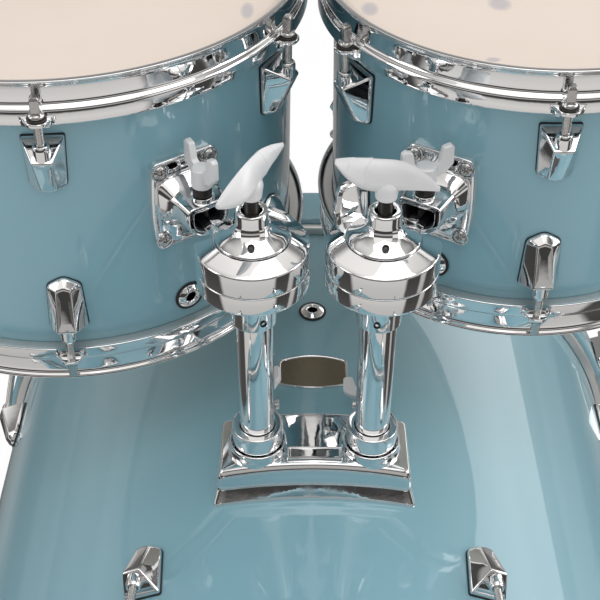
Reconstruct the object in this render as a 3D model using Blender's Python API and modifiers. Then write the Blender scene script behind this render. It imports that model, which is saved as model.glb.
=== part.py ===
"""Bass drum with a double tom holder and two rack toms, in metres, +Z up.

X runs to the right seen from the audience, Y runs from the audience towards the player.
The origin lies on the floor, under the middle of the batter hoop's width, where that hoop rests.
Round drum parts share one facet pattern, so a ring and what it seats on keep an even gap.
"""
import bmesh
import bpy
from math import asin, cos, pi, radians, sin, sqrt
from mathutils import Matrix, Vector

# Gap between pieces that touch
GAP = 0.0003
# How deep one shape goes into another that it is made in one with
SINK = 0.0005

# Bass drum
BASS_DIAMETER = 0.5588
BASS_DEPTH = 0.4064
BASS_WALL = 0.007
BASS_FACETS = 48
BASS_LUGS = 8
BASS_LUG_INSET = 0.050
BASS_HOOP_WIDTH = 0.0385
BASS_HOOP_THICKNESS = 0.0095
BASS_HOOP_CLEARANCE = 0.0022
BASS_VENT_INSET = 0.110
BASS_CLAW_ROD_HEIGHT = 0.0205
CLAW_WIDTH = 0.018
CLAW_FRONT = 0.0055
CLAW_CREST_RISE = 0.0062
CLAW_CREST_LENGTH = 0.012
CLAW_TAIL_RISE = 0.003
BASS_HOOP_EASE = 0.0025

# Toms: the low one stands at -X, the high one at +X
LOW_TOM_DIAMETER = 0.3048
LOW_TOM_DEPTH = 0.2032
HIGH_TOM_DIAMETER = 0.254
HIGH_TOM_DEPTH = 0.1778
TOM_WALL = 0.006
TOM_FACETS = 24
TOM_LUGS = 6
TOM_LUG_INSET = 0.0305
TOM_VENT_INSET = 0.033
TOM_LEAN = radians(0.8)

# Drum heads, shared by all drums
FILM = 0.0004
COLLAR_WALL = 0.0005
FLESH_HOOP_HEIGHT = 0.0064
EDGE_ROUND = 0.002
BEARING_BEVEL = 0.004
FLESH_HOOP_REACH = 0.0073

# Pressed steel tom hoop
HOOP_LIP_RISE = 0.008
HOOP_STEEL = 0.0017
HOOP_WALL_REACH = 0.0049
HOOP_LIP_REACH = 0.0095
HOOP_SKIRT_DROP = 0.0185
HOOP_SKIRT_REACH = 0.0099
HOOP_EAR_DROP = 0.0125
HOOP_EAR_STEEL = 0.0024
HOOP_EAR_WIDTH = 0.016
HOOP_EAR_NOSE = 0.0066
HOOP_FLARE = 0.0032
HOOP_LIP_EASE = 0.001

# Lugs and tension rods
LUG_LENGTH = 0.040
LUG_WIDTH = 0.0245
LUG_HEIGHT = 0.019
LUG_SKIRT = 0.003
ROD_HEIGHT = 0.0133
ROD_RADIUS = 0.0027
ROD_CLEARANCE = 0.0005
ROD_IN_LUG = 0.008
ROD_HEAD_RADIUS = 0.0042
ROD_HEAD_HEIGHT = 0.0128

# Air vents and the name plate
VENT_BARREL_RADIUS = 0.0058
VENT_BORE_RADIUS = 0.0036
VENT_FLANGE_RADIUS = 0.0086
VENT_FLANGE_HEIGHT = 0.0034
VENT_EASE = 0.001
BADGE_WIDTH = 0.050
BADGE_HEIGHT = 0.034
BADGE_THICKNESS = 0.0015
BADGE_SETBACK = 0.092

# Double tom holder
HOLDER_SETBACK = 0.2685
PIPE_SPACING = 0.0737
PIPE_RADIUS = 0.0111
PIPE_WALL = 0.0015
PIPE_CLEARANCE = 0.0005
PIPE_FACETS = 16
PIPE_BELOW_SHELL = 0.075
PIPE_HOLE_RADIUS = 0.0135
BASE_WIDTH = 0.132
BASE_TOP_WIDTH = 0.122
BASE_FRONT = 0.027
BASE_BACK = 0.030
BASE_RIDGE = -0.0225
BASE_HEIGHT = 0.025
BASE_SHOULDER_DROP = 0.008
BASE_SKIRT = 0.012
SEAT_RADIUS = 0.0195
SEAT_TOP = 0.0308
MEMORY_RADIUS = 0.0165
MEMORY_HEIGHT = 0.0135
MEMORY_EAR_WIDTH = 0.013
MEMORY_EAR_LENGTH = 0.014
MEMORY_SLIT = 0.003
MEMORY_BOLT_RADIUS = 0.0032
BASE_BOLT_HEIGHT = 0.018
BASE_BOSS_RADIUS = 0.009
BASE_BOSS_BACK = 0.038
LEFT_PIPE_BOLT_TURN = radians(-35)
RIGHT_PIPE_BOLT_TURN = radians(-12)
PLAQUE_WIDTH = 0.036
PLAQUE_DEPTH = 0.0106
PLAQUE_RISE = 0.002

# Ball clamp on each pipe
BALL_HEIGHT = 0.1772
BALL_RADIUS = 0.0155
CLAMP_RADIUS = 0.0328
CUP_HEIGHT = 0.013
CUP_WALL = 0.0158
COLLAR_RADIUS = 0.0135
COLLAR_BOTTOM = 0.1345
PIPE_TOP = 0.157
RING_HEIGHT = 0.0139
RING_CONE_RISE = 0.0043
RING_BORE = 0.019
CAP_FLANGE_RADIUS = 0.0213
CAP_NECK_RADIUS = 0.0094
CAP_RISE = 0.0195
CAP_SPIGOT = 0.009
CAP_NECK_HEIGHT = 0.0105
CLAMP_FACETS = 20
CUP_EASE = 0.0015
RING_EASE = 0.0008
OPENING_ANGLE = radians(55)
NOTCH_DEPTH = 0.0115
LEFT_HOOD_RISE = 0.005
RIGHT_HOOD_RISE = 0.028
HOOD_WALL = 0.004
HOOD_SLOPE = radians(32)
THREAD_RADIUS = 0.004
THREAD_CLEARANCE = 0.0004
HANDLE_LENGTH = 0.062
HANDLE_WIDTH = 0.017
HANDLE_THICKNESS = 0.010
HANDLE_LIFT = 0.008
HANDLE_HUB_RADIUS = 0.0085
HANDLE_TIP = 0.0012
LEFT_HANDLE_TURN = radians(58)
RIGHT_HANDLE_TURN = radians(-19)

# Hexagon rod and tom bracket
LOW_TOM_AZIMUTH = radians(35.4)
HIGH_TOM_AZIMUTH = radians(30.4)
ROD_REACH = 0.0759
HEX_ACROSS_FLATS = 0.0105
HEX_START = 0.004
HEX_END_GAP = 0.004
BRACKET_DROP = 0.1006
BRACKET_WIDTH = 0.047
BRACKET_HEIGHT = 0.063
BRACKET_BULGE = 0.0015
BRACKET_PLATE = 0.0035
BRACKET_RAISE = 0.0018
BRACKET_CORNER = 0.005
BRACKET_SUNK = 0.004
BRACKET_BOSS_RADIUS = 0.020
BRACKET_BOSS_DEPTH = 0.008
SOCKET_DEPTH = 0.030
SOCKET_WIDTH = 0.028
SOCKET_WALL = 0.004
SOCKET_HEADROOM = 0.0045
BRACKET_PAD = 0.003
BRACKET_BOLT_REACH = 0.0225
LEFT_BRACKET_BOLT_TURN = radians(0)
RIGHT_BRACKET_BOLT_TURN = radians(137)
SCREW_INSET = 0.0065
SCREW_HEAD_RADIUS = 0.0042
SCREW_HEAD_HEIGHT = 0.0022

# Small wing bolts
WING_HUB_RADIUS = 0.0064
WING_HUB_HEIGHT = 0.013
WING_SPAN = 0.0165
WING_HEIGHT = 0.020
WING_THICKNESS = 0.003
BRACKET_BOLT_STANDOFF = 0.006
BASE_BOLT_STANDOFF = 0.008

# Spurs
SPUR_FACETS_FROM_TOP = 17
SPUR_INSET = 0.085
SPUR_SPLAY = radians(22)
SPUR_PIVOT_HEIGHT = 0.024
SPUR_LEG_RADIUS = 0.008
SPUR_EYE_RADIUS = 0.0115
SPUR_EYE_WIDTH = 0.017
SPUR_CHEEK = 0.005
SPUR_PLATE_LENGTH = 0.052
SPUR_PLATE_WIDTH = 0.044
SPUR_PLATE_THICKNESS = 0.006
SPUR_BOLT_RADIUS = 0.004
SPUR_FOOT_RADIUS = 0.013
SPUR_FOOT_LENGTH = 0.036
SPUR_SPIKE_RADIUS = 0.004
SPUR_SPIKE_LENGTH = 0.012
SPUR_FOOT_TRAVEL = 0.006

# Places worked out from the sizes above
BASS_RADIUS = BASS_DIAMETER / 2
HOOP_BEHIND_EDGE = EDGE_ROUND + 0.005
TOM_FLESH_DROP = HOOP_BEHIND_EDGE + 0.0026
BASS_HOOP_INNER = BASS_RADIUS + BASS_HOOP_CLEARANCE
BASS_HOOP_OUTER = BASS_HOOP_INNER + BASS_HOOP_THICKNESS
BASS_AXIS_HEIGHT = BASS_HOOP_OUTER * cos(pi / BASS_FACETS)
BASS_END_TO_HOOP = BASS_HOOP_WIDTH / 2 - HOOP_BEHIND_EDGE + GAP
BASS_CENTRE_Y = -BASS_END_TO_HOOP - BASS_DEPTH / 2
BATTER_END_Y = BASS_CENTRE_Y + BASS_DEPTH / 2
HOLDER_Y = BATTER_END_Y - HOLDER_SETBACK
SHELL_TOP = BASS_AXIS_HEIGHT + BASS_RADIUS * cos(pi / BASS_FACETS)
HEX_RADIUS = HEX_ACROSS_FLATS / sqrt(3)
CAP_SEAT = RING_HEIGHT + RING_CONE_RISE + GAP
CAP_TOP = CAP_SEAT + CAP_RISE

PARTS = None
CUTTERS = None


def start_scene():
    """Empty the file and make the two collections."""
    global PARTS, CUTTERS
    for obj in list(bpy.data.objects):
        bpy.data.objects.remove(obj, do_unlink=True)
    PARTS = bpy.data.collections.new("drum_kit")
    CUTTERS = bpy.data.collections.new("cutters")
    bpy.context.scene.collection.children.link(PARTS)
    bpy.context.scene.collection.children.link(CUTTERS)


def material(name, colour, roughness, metallic):
    """A plain Principled material."""
    made = bpy.data.materials.new(name)
    made.use_nodes = True
    shader = made.node_tree.nodes["Principled BSDF"]
    shader.inputs["Base Color"].default_value = (*colour, 1.0)
    shader.inputs["Roughness"].default_value = roughness
    shader.inputs["Metallic"].default_value = metallic
    made.diffuse_color = (*colour, 1.0)
    return made


def shape(bm):
    """An object from a bmesh, its faces pointing out."""
    bmesh.ops.recalc_face_normals(bm, faces=bm.faces)
    mesh = bpy.data.meshes.new("shape")
    bm.to_mesh(mesh)
    bm.free()
    obj = bpy.data.objects.new("shape", mesh)
    PARTS.objects.link(obj)
    return obj


def block(size, centre=(0, 0, 0)):
    """A box of the given size."""
    bm = bmesh.new()
    bmesh.ops.create_cube(bm, size=1.0, matrix=Matrix.Translation(centre) @ Matrix.Diagonal((*size, 1)))
    return shape(bm)


def along(axis):
    """Turn that takes +Z to the named axis."""
    turns = {"X": Matrix.Rotation(pi / 2, 4, "Y"), "Y": Matrix.Rotation(-pi / 2, 4, "X"), "Z": Matrix.Identity(4)}
    return turns[axis]


def cylinder(radius, start, end, axis="Z", offset=(0, 0, 0), sides=12, top_radius=None):
    """A cylinder or cone between two places on an axis."""
    bm = bmesh.new()
    middle = Matrix.Translation((0, 0, (start + end) / 2))
    place = Matrix.Translation(offset) @ along(axis) @ middle
    bmesh.ops.create_cone(bm, cap_ends=True, segments=sides, radius1=radius,
                          radius2=radius if top_radius is None else top_radius,
                          depth=end - start, matrix=place)
    return shape(bm)


def hull(points):
    """The convex solid around a few points."""
    bm = bmesh.new()
    for point in points:
        bm.verts.new(point)
    result = bmesh.ops.convex_hull(bm, input=bm.verts)
    unused = [v for v in result["geom_interior"] if isinstance(v, bmesh.types.BMVert)]
    bmesh.ops.delete(bm, geom=unused, context="VERTS")
    return shape(bm)


def turned(profile, facets, phase=0.5):
    """A turned solid about Z from (radius, height) points; one that starts on the axis ends there.

    Facet centres lie at whole facet steps from +X, because the profile starts half a step round.
    """
    count = len(profile)
    pairs = [(profile[i], profile[(i + 1) % count]) for i in range(count)]
    area = sum(a[0] * b[1] - b[0] * a[1] for a, b in pairs)
    points = list(profile) if area < 0 else list(reversed(profile))
    start = -phase * 2 * pi / facets
    on_axis = profile[0][0] == 0
    edges = [(i, i + 1) for i in range(count - 1)] + ([] if on_axis else [(count - 1, 0)])
    mesh = bpy.data.meshes.new("profile")
    mesh.from_pydata([(r * cos(start), r * sin(start), z) for r, z in points], edges, [])
    obj = bpy.data.objects.new("shape", mesh)
    PARTS.objects.link(obj)
    screw = obj.modifiers.new("turn", "SCREW")
    screw.steps = facets
    screw.render_steps = facets
    screw.use_merge_vertices = True
    screw.merge_threshold = 0.00001
    return obj


def solid_mesh(obj):
    """The finished mesh of an object, which is removed with its cutters."""
    bpy.context.view_layer.update()
    depsgraph = bpy.context.evaluated_depsgraph_get()
    mesh = bpy.data.meshes.new_from_object(obj.evaluated_get(depsgraph))
    for child in obj.children_recursive:
        bpy.data.objects.remove(child, do_unlink=True)
    bpy.data.objects.remove(obj, do_unlink=True)
    bm = bmesh.new()
    bm.from_mesh(mesh)
    bmesh.ops.remove_doubles(bm, verts=bm.verts, dist=0.000001)
    bm.to_mesh(mesh)
    bm.free()
    return mesh


def as_object(mesh):
    """An object that shows a mesh."""
    obj = bpy.data.objects.new("shape", mesh)
    PARTS.objects.link(obj)
    return obj


def prism(outline, thickness):
    """A flat outline in XY, thickened from Z = 0 upwards."""
    curve = bpy.data.curves.new("outline", "CURVE")
    curve.dimensions = "2D"
    curve.fill_mode = "BOTH"
    curve.extrude = thickness / 2
    spline = curve.splines.new("POLY")
    spline.points.add(len(outline) - 1)
    spline.use_cyclic_u = True
    for point, (x, y) in zip(spline.points, outline):
        point.co = (x, y, 0, 1)
    obj = bpy.data.objects.new("shape", curve)
    PARTS.objects.link(obj)
    mesh = solid_mesh(obj)
    mesh.transform(Matrix.Translation((0, 0, thickness / 2)))
    bm = bmesh.new()
    bm.from_mesh(mesh)
    return shape(bm)


def moved(obj, matrix):
    """The same object with its mesh moved by a matrix; its modifiers are made real first."""
    mesh = solid_mesh(obj)
    mesh.transform(matrix)
    return as_object(mesh)


def boolean(base, others, operation):
    """Join or cut with other objects, which become hidden cutters of the base."""
    for other in others:
        modifier = base.modifiers.new(operation.lower(), "BOOLEAN")
        modifier.operation = operation
        modifier.solver = "EXACT"
        modifier.material_mode = "TRANSFER"
        modifier.object = other
        other.parent = base
        other.hide_render = True
        other.display_type = "WIRE"
        other.name = "cutter"
        PARTS.objects.unlink(other)
        CUTTERS.objects.link(other)
    return base


def cut(base, *cutters):
    """Take cutters out of a solid."""
    return boolean(base, cutters, "DIFFERENCE")


def join(base, *others):
    """Make one solid of several that overlap."""
    return boolean(base, others, "UNION")


def common(base, *others):
    """Keep what a solid shares with the others."""
    return boolean(base, others, "INTERSECT")


def copies(mesh, places):
    """One object that holds a copy of a mesh at each place."""
    bm = bmesh.new()
    for place in places:
        copy = mesh.copy()
        copy.transform(place)
        bm.from_mesh(copy)
        bpy.data.meshes.remove(copy)
    return shape(bm)


def coated(obj, finish):
    """Give a material to a shape; what is joined to it keeps its own."""
    obj.data.materials.append(finish)
    return obj


def piece(name, obj, finish, parent=None, place=None, smooth=30):
    """Finish a sub-part: its material, its name and its place."""
    mesh = solid_mesh(coated(obj, finish) if finish else obj)
    mesh.name = name
    mesh.shade_smooth()
    mesh.set_sharp_from_angle(angle=radians(smooth))
    made = as_object(mesh)
    made.name = name
    made.parent = parent
    if place is not None:
        made.matrix_local = place
    return made


def frame(name, parent, place):
    """An empty that carries pieces; a joint's empty lies on its axis."""
    empty = bpy.data.objects.new(name, None)
    PARTS.objects.link(empty)
    empty.parent = parent
    empty.matrix_local = place
    empty.empty_display_size = 0.02
    return empty


def axes(origin, x, y, z):
    """A matrix from its origin and its three directions."""
    columns = [Vector(x), Vector(y), Vector(z), Vector(origin)]
    rows = [[column[i] for column in columns] for i in range(3)]
    return Matrix((*rows, (0, 0, 0, 1)))


def seat(radius, azimuth, height, up=1):
    """A place on a drum: Z points away from the drum's axis, Y along that axis towards its hoop."""
    outward = Vector((cos(azimuth), sin(azimuth), 0))
    towards = Vector((0, 0, up))
    return axes(outward * radius + Vector((0, 0, height)), towards.cross(outward), towards, outward)


def flat_radius(radius, facets):
    """Distance from a drum's axis to the middle of its facets."""
    return radius * cos(pi / facets)


def shell_profile(radius, wall, depth):
    """Section of a wooden shell with rounded outer edges and bevelled bearing edges."""
    half = depth / 2
    inner = radius - wall
    crest = radius - EDGE_ROUND
    bevel = min(BEARING_BEVEL, wall - EDGE_ROUND)
    return [(radius, half - EDGE_ROUND), (radius, EDGE_ROUND - half), (crest, -half),
            (inner, bevel - half), (inner, half - bevel), (crest, half)]


def head_profile(radius, edge, up, flesh_top):
    """Section of a head: film over the bearing edge, collar outside the shell, metal flesh hoop."""
    crest = radius - EDGE_ROUND
    inner = radius + GAP
    outer = inner + COLLAR_WALL
    rim = radius + FLESH_HOOP_REACH
    section = [(0, GAP + FILM), (crest, GAP + FILM), (outer, -EDGE_ROUND + GAP), (outer, -flesh_top),
               (rim, -flesh_top), (rim, -flesh_top - FLESH_HOOP_HEIGHT),
               (inner, -flesh_top - FLESH_HOOP_HEIGHT), (inner, -EDGE_ROUND + GAP), (crest, GAP), (0, GAP)]
    return [(r, up * (edge + z)) for r, z in section]


def rod_line(slope):
    """Line of a tension rod in its lug's frame: +Z runs up the rod."""
    return Matrix.Translation((0, 0, ROD_HEIGHT)) @ Matrix.Rotation(slope, 4, "X") @ along("Y")


def lug_mesh(slope):
    """A wedge-shaped lug: Y points to the hoop, Z away from the shell, bored for its rod."""
    half = LUG_WIDTH / 2
    tail = half * 0.86
    shoulder = -LUG_LENGTH * 0.85
    skirt = LUG_SKIRT
    ridge = half * 0.44
    roof = -0.2 * LUG_LENGTH
    body = hull([(-half, 0, 0), (half, 0, 0), (-half, 0, skirt), (half, 0, skirt),
                 (-tail, shoulder, 0), (tail, shoulder, 0), (0, -LUG_LENGTH, 0),
                 (-ridge, roof, LUG_HEIGHT), (ridge, roof, LUG_HEIGHT),
                 (-ridge * 0.7, shoulder, LUG_HEIGHT * 0.42), (ridge * 0.7, shoulder, LUG_HEIGHT * 0.42)])
    bore = moved(cylinder(ROD_RADIUS + ROD_CLEARANCE, -ROD_IN_LUG - 0.001, 0.01, sides=6), rod_line(slope))
    return solid_mesh(cut(body, bore))


def rod_mesh(bearing):
    """A tension rod along +Z from inside its lug; its head bears at the given height."""
    head = bearing + ROD_HEAD_HEIGHT
    under = bearing - SINK
    profile = [(0, head), (ROD_HEAD_RADIUS * 0.8, head), (ROD_HEAD_RADIUS, under), (ROD_RADIUS, under),
               (ROD_RADIUS, 0), (0, 0)]
    return solid_mesh(turned(profile, 6))


def vent(wall):
    """An air vent eyelet along Z; Z = 0 is the outer face of the shell it goes through."""
    sink = wall + VENT_EASE
    flange = VENT_FLANGE_RADIUS
    profile = [(VENT_BORE_RADIUS, VENT_FLANGE_HEIGHT - VENT_EASE),
               (VENT_BORE_RADIUS + VENT_EASE, VENT_FLANGE_HEIGHT),
               (flange * 0.72, VENT_FLANGE_HEIGHT), (flange, VENT_EASE), (flange, GAP),
               (VENT_BARREL_RADIUS, GAP), (VENT_BARREL_RADIUS, -sink), (VENT_BORE_RADIUS, -sink)]
    return turned(profile, 12)


def vent_hole(place):
    """Cutter for the vent's barrel."""
    return moved(cylinder(VENT_BARREL_RADIUS + GAP * 2, -0.02, 0.01), place)


def wing_bolt(shaft, standoff):
    """A wing bolt along Z: its tip lies at 0, its hub starts past the shaft's length and standoff."""
    hub = shaft + standoff
    body = cylinder(THREAD_RADIUS, 0, hub + 0.002, sides=8)
    cap = cylinder(WING_HUB_RADIUS, hub, hub + WING_HUB_HEIGHT, sides=10, top_radius=WING_HUB_RADIUS * 0.85)
    low = hub + WING_HUB_HEIGHT * 0.45
    high = hub + WING_HUB_HEIGHT * 0.95
    half = WING_THICKNESS / 2
    wings = []
    for side in (-1, 1):
        points = []
        for y in (-half, half):
            points += [(side * WING_HUB_RADIUS * 0.5, y, low), (side * WING_HUB_RADIUS * 0.5, y, high),
                       (side * WING_SPAN * 0.7, y, low + WING_HEIGHT * 0.1),
                       (side * WING_SPAN * 0.62, y, low + WING_HEIGHT),
                       (side * WING_SPAN, y, low + WING_HEIGHT * 0.45),
                       (side * WING_SPAN * 0.9, y, low + WING_HEIGHT)]
        wings.append(hull(points))
    return join(body, cap, *wings)


def around(count):
    """Azimuths of a drum's lugs, with none at the bracket or the very top."""
    return [(i + 0.5) * 2 * pi / count for i in range(count)]


def make_shell(name, carrier, radius, wall, depth, facets, lug, places, cutters, finishes):
    """A wooden shell with its lugs bolted on and its holes cut."""
    lugs = coated(copies(lug, places), finishes["chrome"])
    shell = coated(turned(shell_profile(radius, wall, depth), facets), finishes["wrap"])
    piece(name, cut(join(shell, lugs), *cutters), None, carrier)


def lug_places(radius, depth, inset, count, up):
    """Places of the lugs along one end of a drum, sunk a little so that they join the shell."""
    return [seat(radius - SINK, a, up * (depth / 2 - inset), up) for a in around(count)]


def make_bass_drum(finishes):
    """Bass drum: shell with lugs, heads, wooden hoops with claws and rods, vent and name plate."""
    place = Matrix.Translation((0, BASS_CENTRE_Y, BASS_AXIS_HEIGHT)) @ Matrix.Rotation(-pi / 2, 4, "X")
    carrier = frame("bass_frame", None, place)
    half = BASS_DEPTH / 2
    outer = flat_radius(BASS_RADIUS, BASS_FACETS)
    holder_z = half - HOLDER_SETBACK
    over_shell = (-BASS_RADIUS - 0.01, 0.02 - BASS_RADIUS)
    holes = [cylinder(PIPE_HOLE_RADIUS, *over_shell, "Y", (s * PIPE_SPACING / 2, 0, holder_z), 16)
             for s in (-1, 1)]
    at_vent = seat(outer, -pi / 2, half - BASS_VENT_INSET)

    # The rods rise from their lugs to clear the hoop
    face = BASS_LUG_INSET - HOOP_BEHIND_EDGE + GAP + BASS_HOOP_WIDTH
    slope = asin((BASS_CLAW_ROD_HEIGHT - ROD_HEIGHT) / face)
    claw_front = face + CLAW_FRONT
    rod_foot = -ROD_IN_LUG
    rod = rod_mesh(claw_front / cos(slope) - rod_foot)
    rod.transform(rod_line(slope) @ Matrix.Translation((0, 0, rod_foot)))
    hardware = solid_mesh(join(claw(face, claw_front), as_object(rod)))

    ends = {up: lug_places(outer, BASS_DEPTH, BASS_LUG_INSET, BASS_LUGS, up) for up in (-1, 1)}
    make_shell("bass_shell", carrier, BASS_RADIUS, BASS_WALL, BASS_DEPTH, BASS_FACETS, lug_mesh(slope),
               ends[-1] + ends[1], holes + [vent_hole(at_vent)], finishes)
    piece("bass_vent", vent(BASS_WALL), finishes["chrome"], carrier, at_vent)

    for name, up in (("batter", 1), ("front", -1)):
        head = turned(head_profile(BASS_RADIUS, half, up, HOOP_BEHIND_EDGE), BASS_FACETS)
        piece("bass_%s_head" % name, head, finishes["film"], carrier)
        near = half - HOOP_BEHIND_EDGE + GAP
        far = near + BASS_HOOP_WIDTH
        ease = BASS_HOOP_EASE
        profile = [(BASS_HOOP_OUTER, far - ease), (BASS_HOOP_OUTER, near + ease), (BASS_HOOP_OUTER - ease, near),
                   (BASS_HOOP_INNER, near), (BASS_HOOP_INNER, far), (BASS_HOOP_OUTER - ease, far)]
        hoop = coated(turned([(r, up * z) for r, z in profile], BASS_FACETS), finishes["wrap"])
        claws = coated(copies(hardware, ends[up]), finishes["chrome"])
        piece("bass_%s_hoop" % name, join(hoop, claws), None, carrier)

    rind = BASS_RADIUS + GAP
    ring = turned([(rind + BADGE_THICKNESS, half), (rind + BADGE_THICKNESS, 0), (rind, 0), (rind, half)],
                  BASS_FACETS)
    upright = (Matrix.Translation((0, -BASS_RADIUS - 0.01, holder_z + BADGE_SETBACK))
               @ Matrix.Rotation(-pi / 2, 4, "X"))
    piece("bass_badge", common(ring, moved(prism(badge_outline(), 0.02), upright)), finishes["bronze"], carrier)


def badge_outline():
    """A wide plate with bowed long sides."""
    half_width = BADGE_WIDTH / 2
    half_height = BADGE_HEIGHT / 2
    bow = half_height * 0.28
    steps = 8
    top = []
    for i in range(steps + 1):
        t = 1 - 2 * i / steps
        top.append((half_width * t, half_height - bow * t * t))
    return top + [(-x, -y) for x, y in top]


def claw(face, claw_front):
    """A claw hook in a lug's own frame: it grips the hoop's outer end and carries the rod's head."""
    on_hoop = BASS_HOOP_OUTER * cos(pi / BASS_FACETS) - flat_radius(BASS_RADIUS, BASS_FACETS)
    hook = on_hoop - BASS_HOOP_THICKNESS * 0.8
    inner_end = face - BASS_HOOP_WIDTH * 0.72
    crest = BASS_CLAW_ROD_HEIGHT + CLAW_CREST_RISE
    side = [(face - SINK, hook), (face - SINK, on_hoop - SINK), (inner_end, on_hoop - SINK),
            (inner_end, on_hoop + CLAW_TAIL_RISE), (face - CLAW_CREST_LENGTH, crest), (claw_front, crest),
            (claw_front + SINK, hook)]
    return moved(prism(side, CLAW_WIDTH), axes((-CLAW_WIDTH / 2, 0, 0), (0, 1, 0), (0, 0, 1), (1, 0, 0)))


def hoop_profile(radius):
    """Section of a pressed steel hoop; height 0 is the shell's edge, the flesh hoop sits under its step."""
    wall_in = radius + HOOP_WALL_REACH
    wall_out = wall_in + HOOP_STEEL
    lip = radius + HOOP_LIP_REACH
    skirt = radius + HOOP_SKIRT_REACH
    step = TOM_FLESH_DROP - GAP
    return [(lip, HOOP_LIP_RISE), (wall_out, HOOP_LIP_RISE - HOOP_FLARE), (wall_out, HOOP_STEEL - step),
            (skirt, -step), (skirt, -HOOP_SKIRT_DROP), (skirt - HOOP_STEEL, -HOOP_SKIRT_DROP),
            (skirt - HOOP_STEEL - GAP, -step), (wall_in, -step), (wall_in, HOOP_LIP_RISE - HOOP_LIP_EASE),
            (wall_in + HOOP_LIP_EASE, HOOP_LIP_RISE)]


def ear(radius, rod_radius):
    """A hoop's ear in the hoop's own frame at azimuth 0: a flat tab that carries a rod."""
    root = radius + HOOP_SKIRT_REACH - HOOP_STEEL * 0.6
    half = HOOP_EAR_WIDTH / 2
    nose = rod_radius + HOOP_EAR_NOSE
    outline = [(root, -half * 1.15), (rod_radius, -half), (nose, -half * 0.45),
               (nose, half * 0.45), (rod_radius, half), (root, half * 1.15)]
    return moved(prism(outline, HOOP_EAR_STEEL), Matrix.Translation((0, 0, -HOOP_EAR_DROP - HOOP_EAR_STEEL)))


def make_tom(prefix, parent, place, diameter, depth, finishes):
    """A rack tom in its own frame: X points to the bracket, Z along the axis, 0 at the middle of the shell."""
    radius = diameter / 2
    carrier = frame(prefix + "_frame", parent, place)
    half = depth / 2
    outer = flat_radius(radius, TOM_FACETS)
    at_vent = seat(outer, 0, TOM_VENT_INSET - half)
    ends = {up: lug_places(outer, depth, TOM_LUG_INSET, TOM_LUGS, up) for up in (-1, 1)}
    make_shell(prefix + "_shell", carrier, radius, TOM_WALL, depth, TOM_FACETS, lug_mesh(0), ends[-1] + ends[1],
               [vent_hole(at_vent)], finishes)
    piece(prefix + "_vent", vent(TOM_WALL), finishes["chrome"], carrier, at_vent)

    rod_radius = outer - SINK + ROD_HEIGHT
    rod_foot = -ROD_IN_LUG
    above_lug = TOM_LUG_INSET - HOOP_EAR_DROP
    rod = rod_mesh(above_lug - rod_foot)
    rod.transform(Matrix.Translation((rod_radius, 0, rod_foot - TOM_LUG_INSET)) @ Matrix.Rotation(pi / 6, 4, "Z"))
    hardware = solid_mesh(join(ear(radius, rod_radius), as_object(rod)))
    turns = [Matrix.Rotation(a, 4, "Z") for a in around(TOM_LUGS)]
    to_end = {1: Matrix.Translation((0, 0, half)),
              -1: Matrix.Rotation(pi, 4, "X") @ Matrix.Translation((0, 0, half))}
    for name, up in (("batter", 1), ("bottom", -1)):
        head = turned(head_profile(radius, half, up, TOM_FLESH_DROP), TOM_FACETS)
        piece("%s_%s_head" % (prefix, name), head, finishes["film"], carrier)
        hoop = join(turned(hoop_profile(radius), TOM_FACETS), copies(hardware, turns))
        piece("%s_%s_hoop" % (prefix, name), hoop, finishes["chrome"], carrier, to_end[up])
    return carrier


def rounded(half_width, half_height, corner, bulge):
    """A rectangle with cut corners, its upright sides a little bowed."""
    points = []
    for sx, sy in ((1, 1), (-1, 1), (-1, -1), (1, -1)):
        side = (sx * (half_width - bulge), sy * (half_height - corner))
        end = (sx * (half_width - bulge - corner), sy * half_height)
        points += [side, end] if sx * sy > 0 else [end, side]
        if sx * sy < 0:
            points.append((sx * half_width, 0))
    return points


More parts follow.
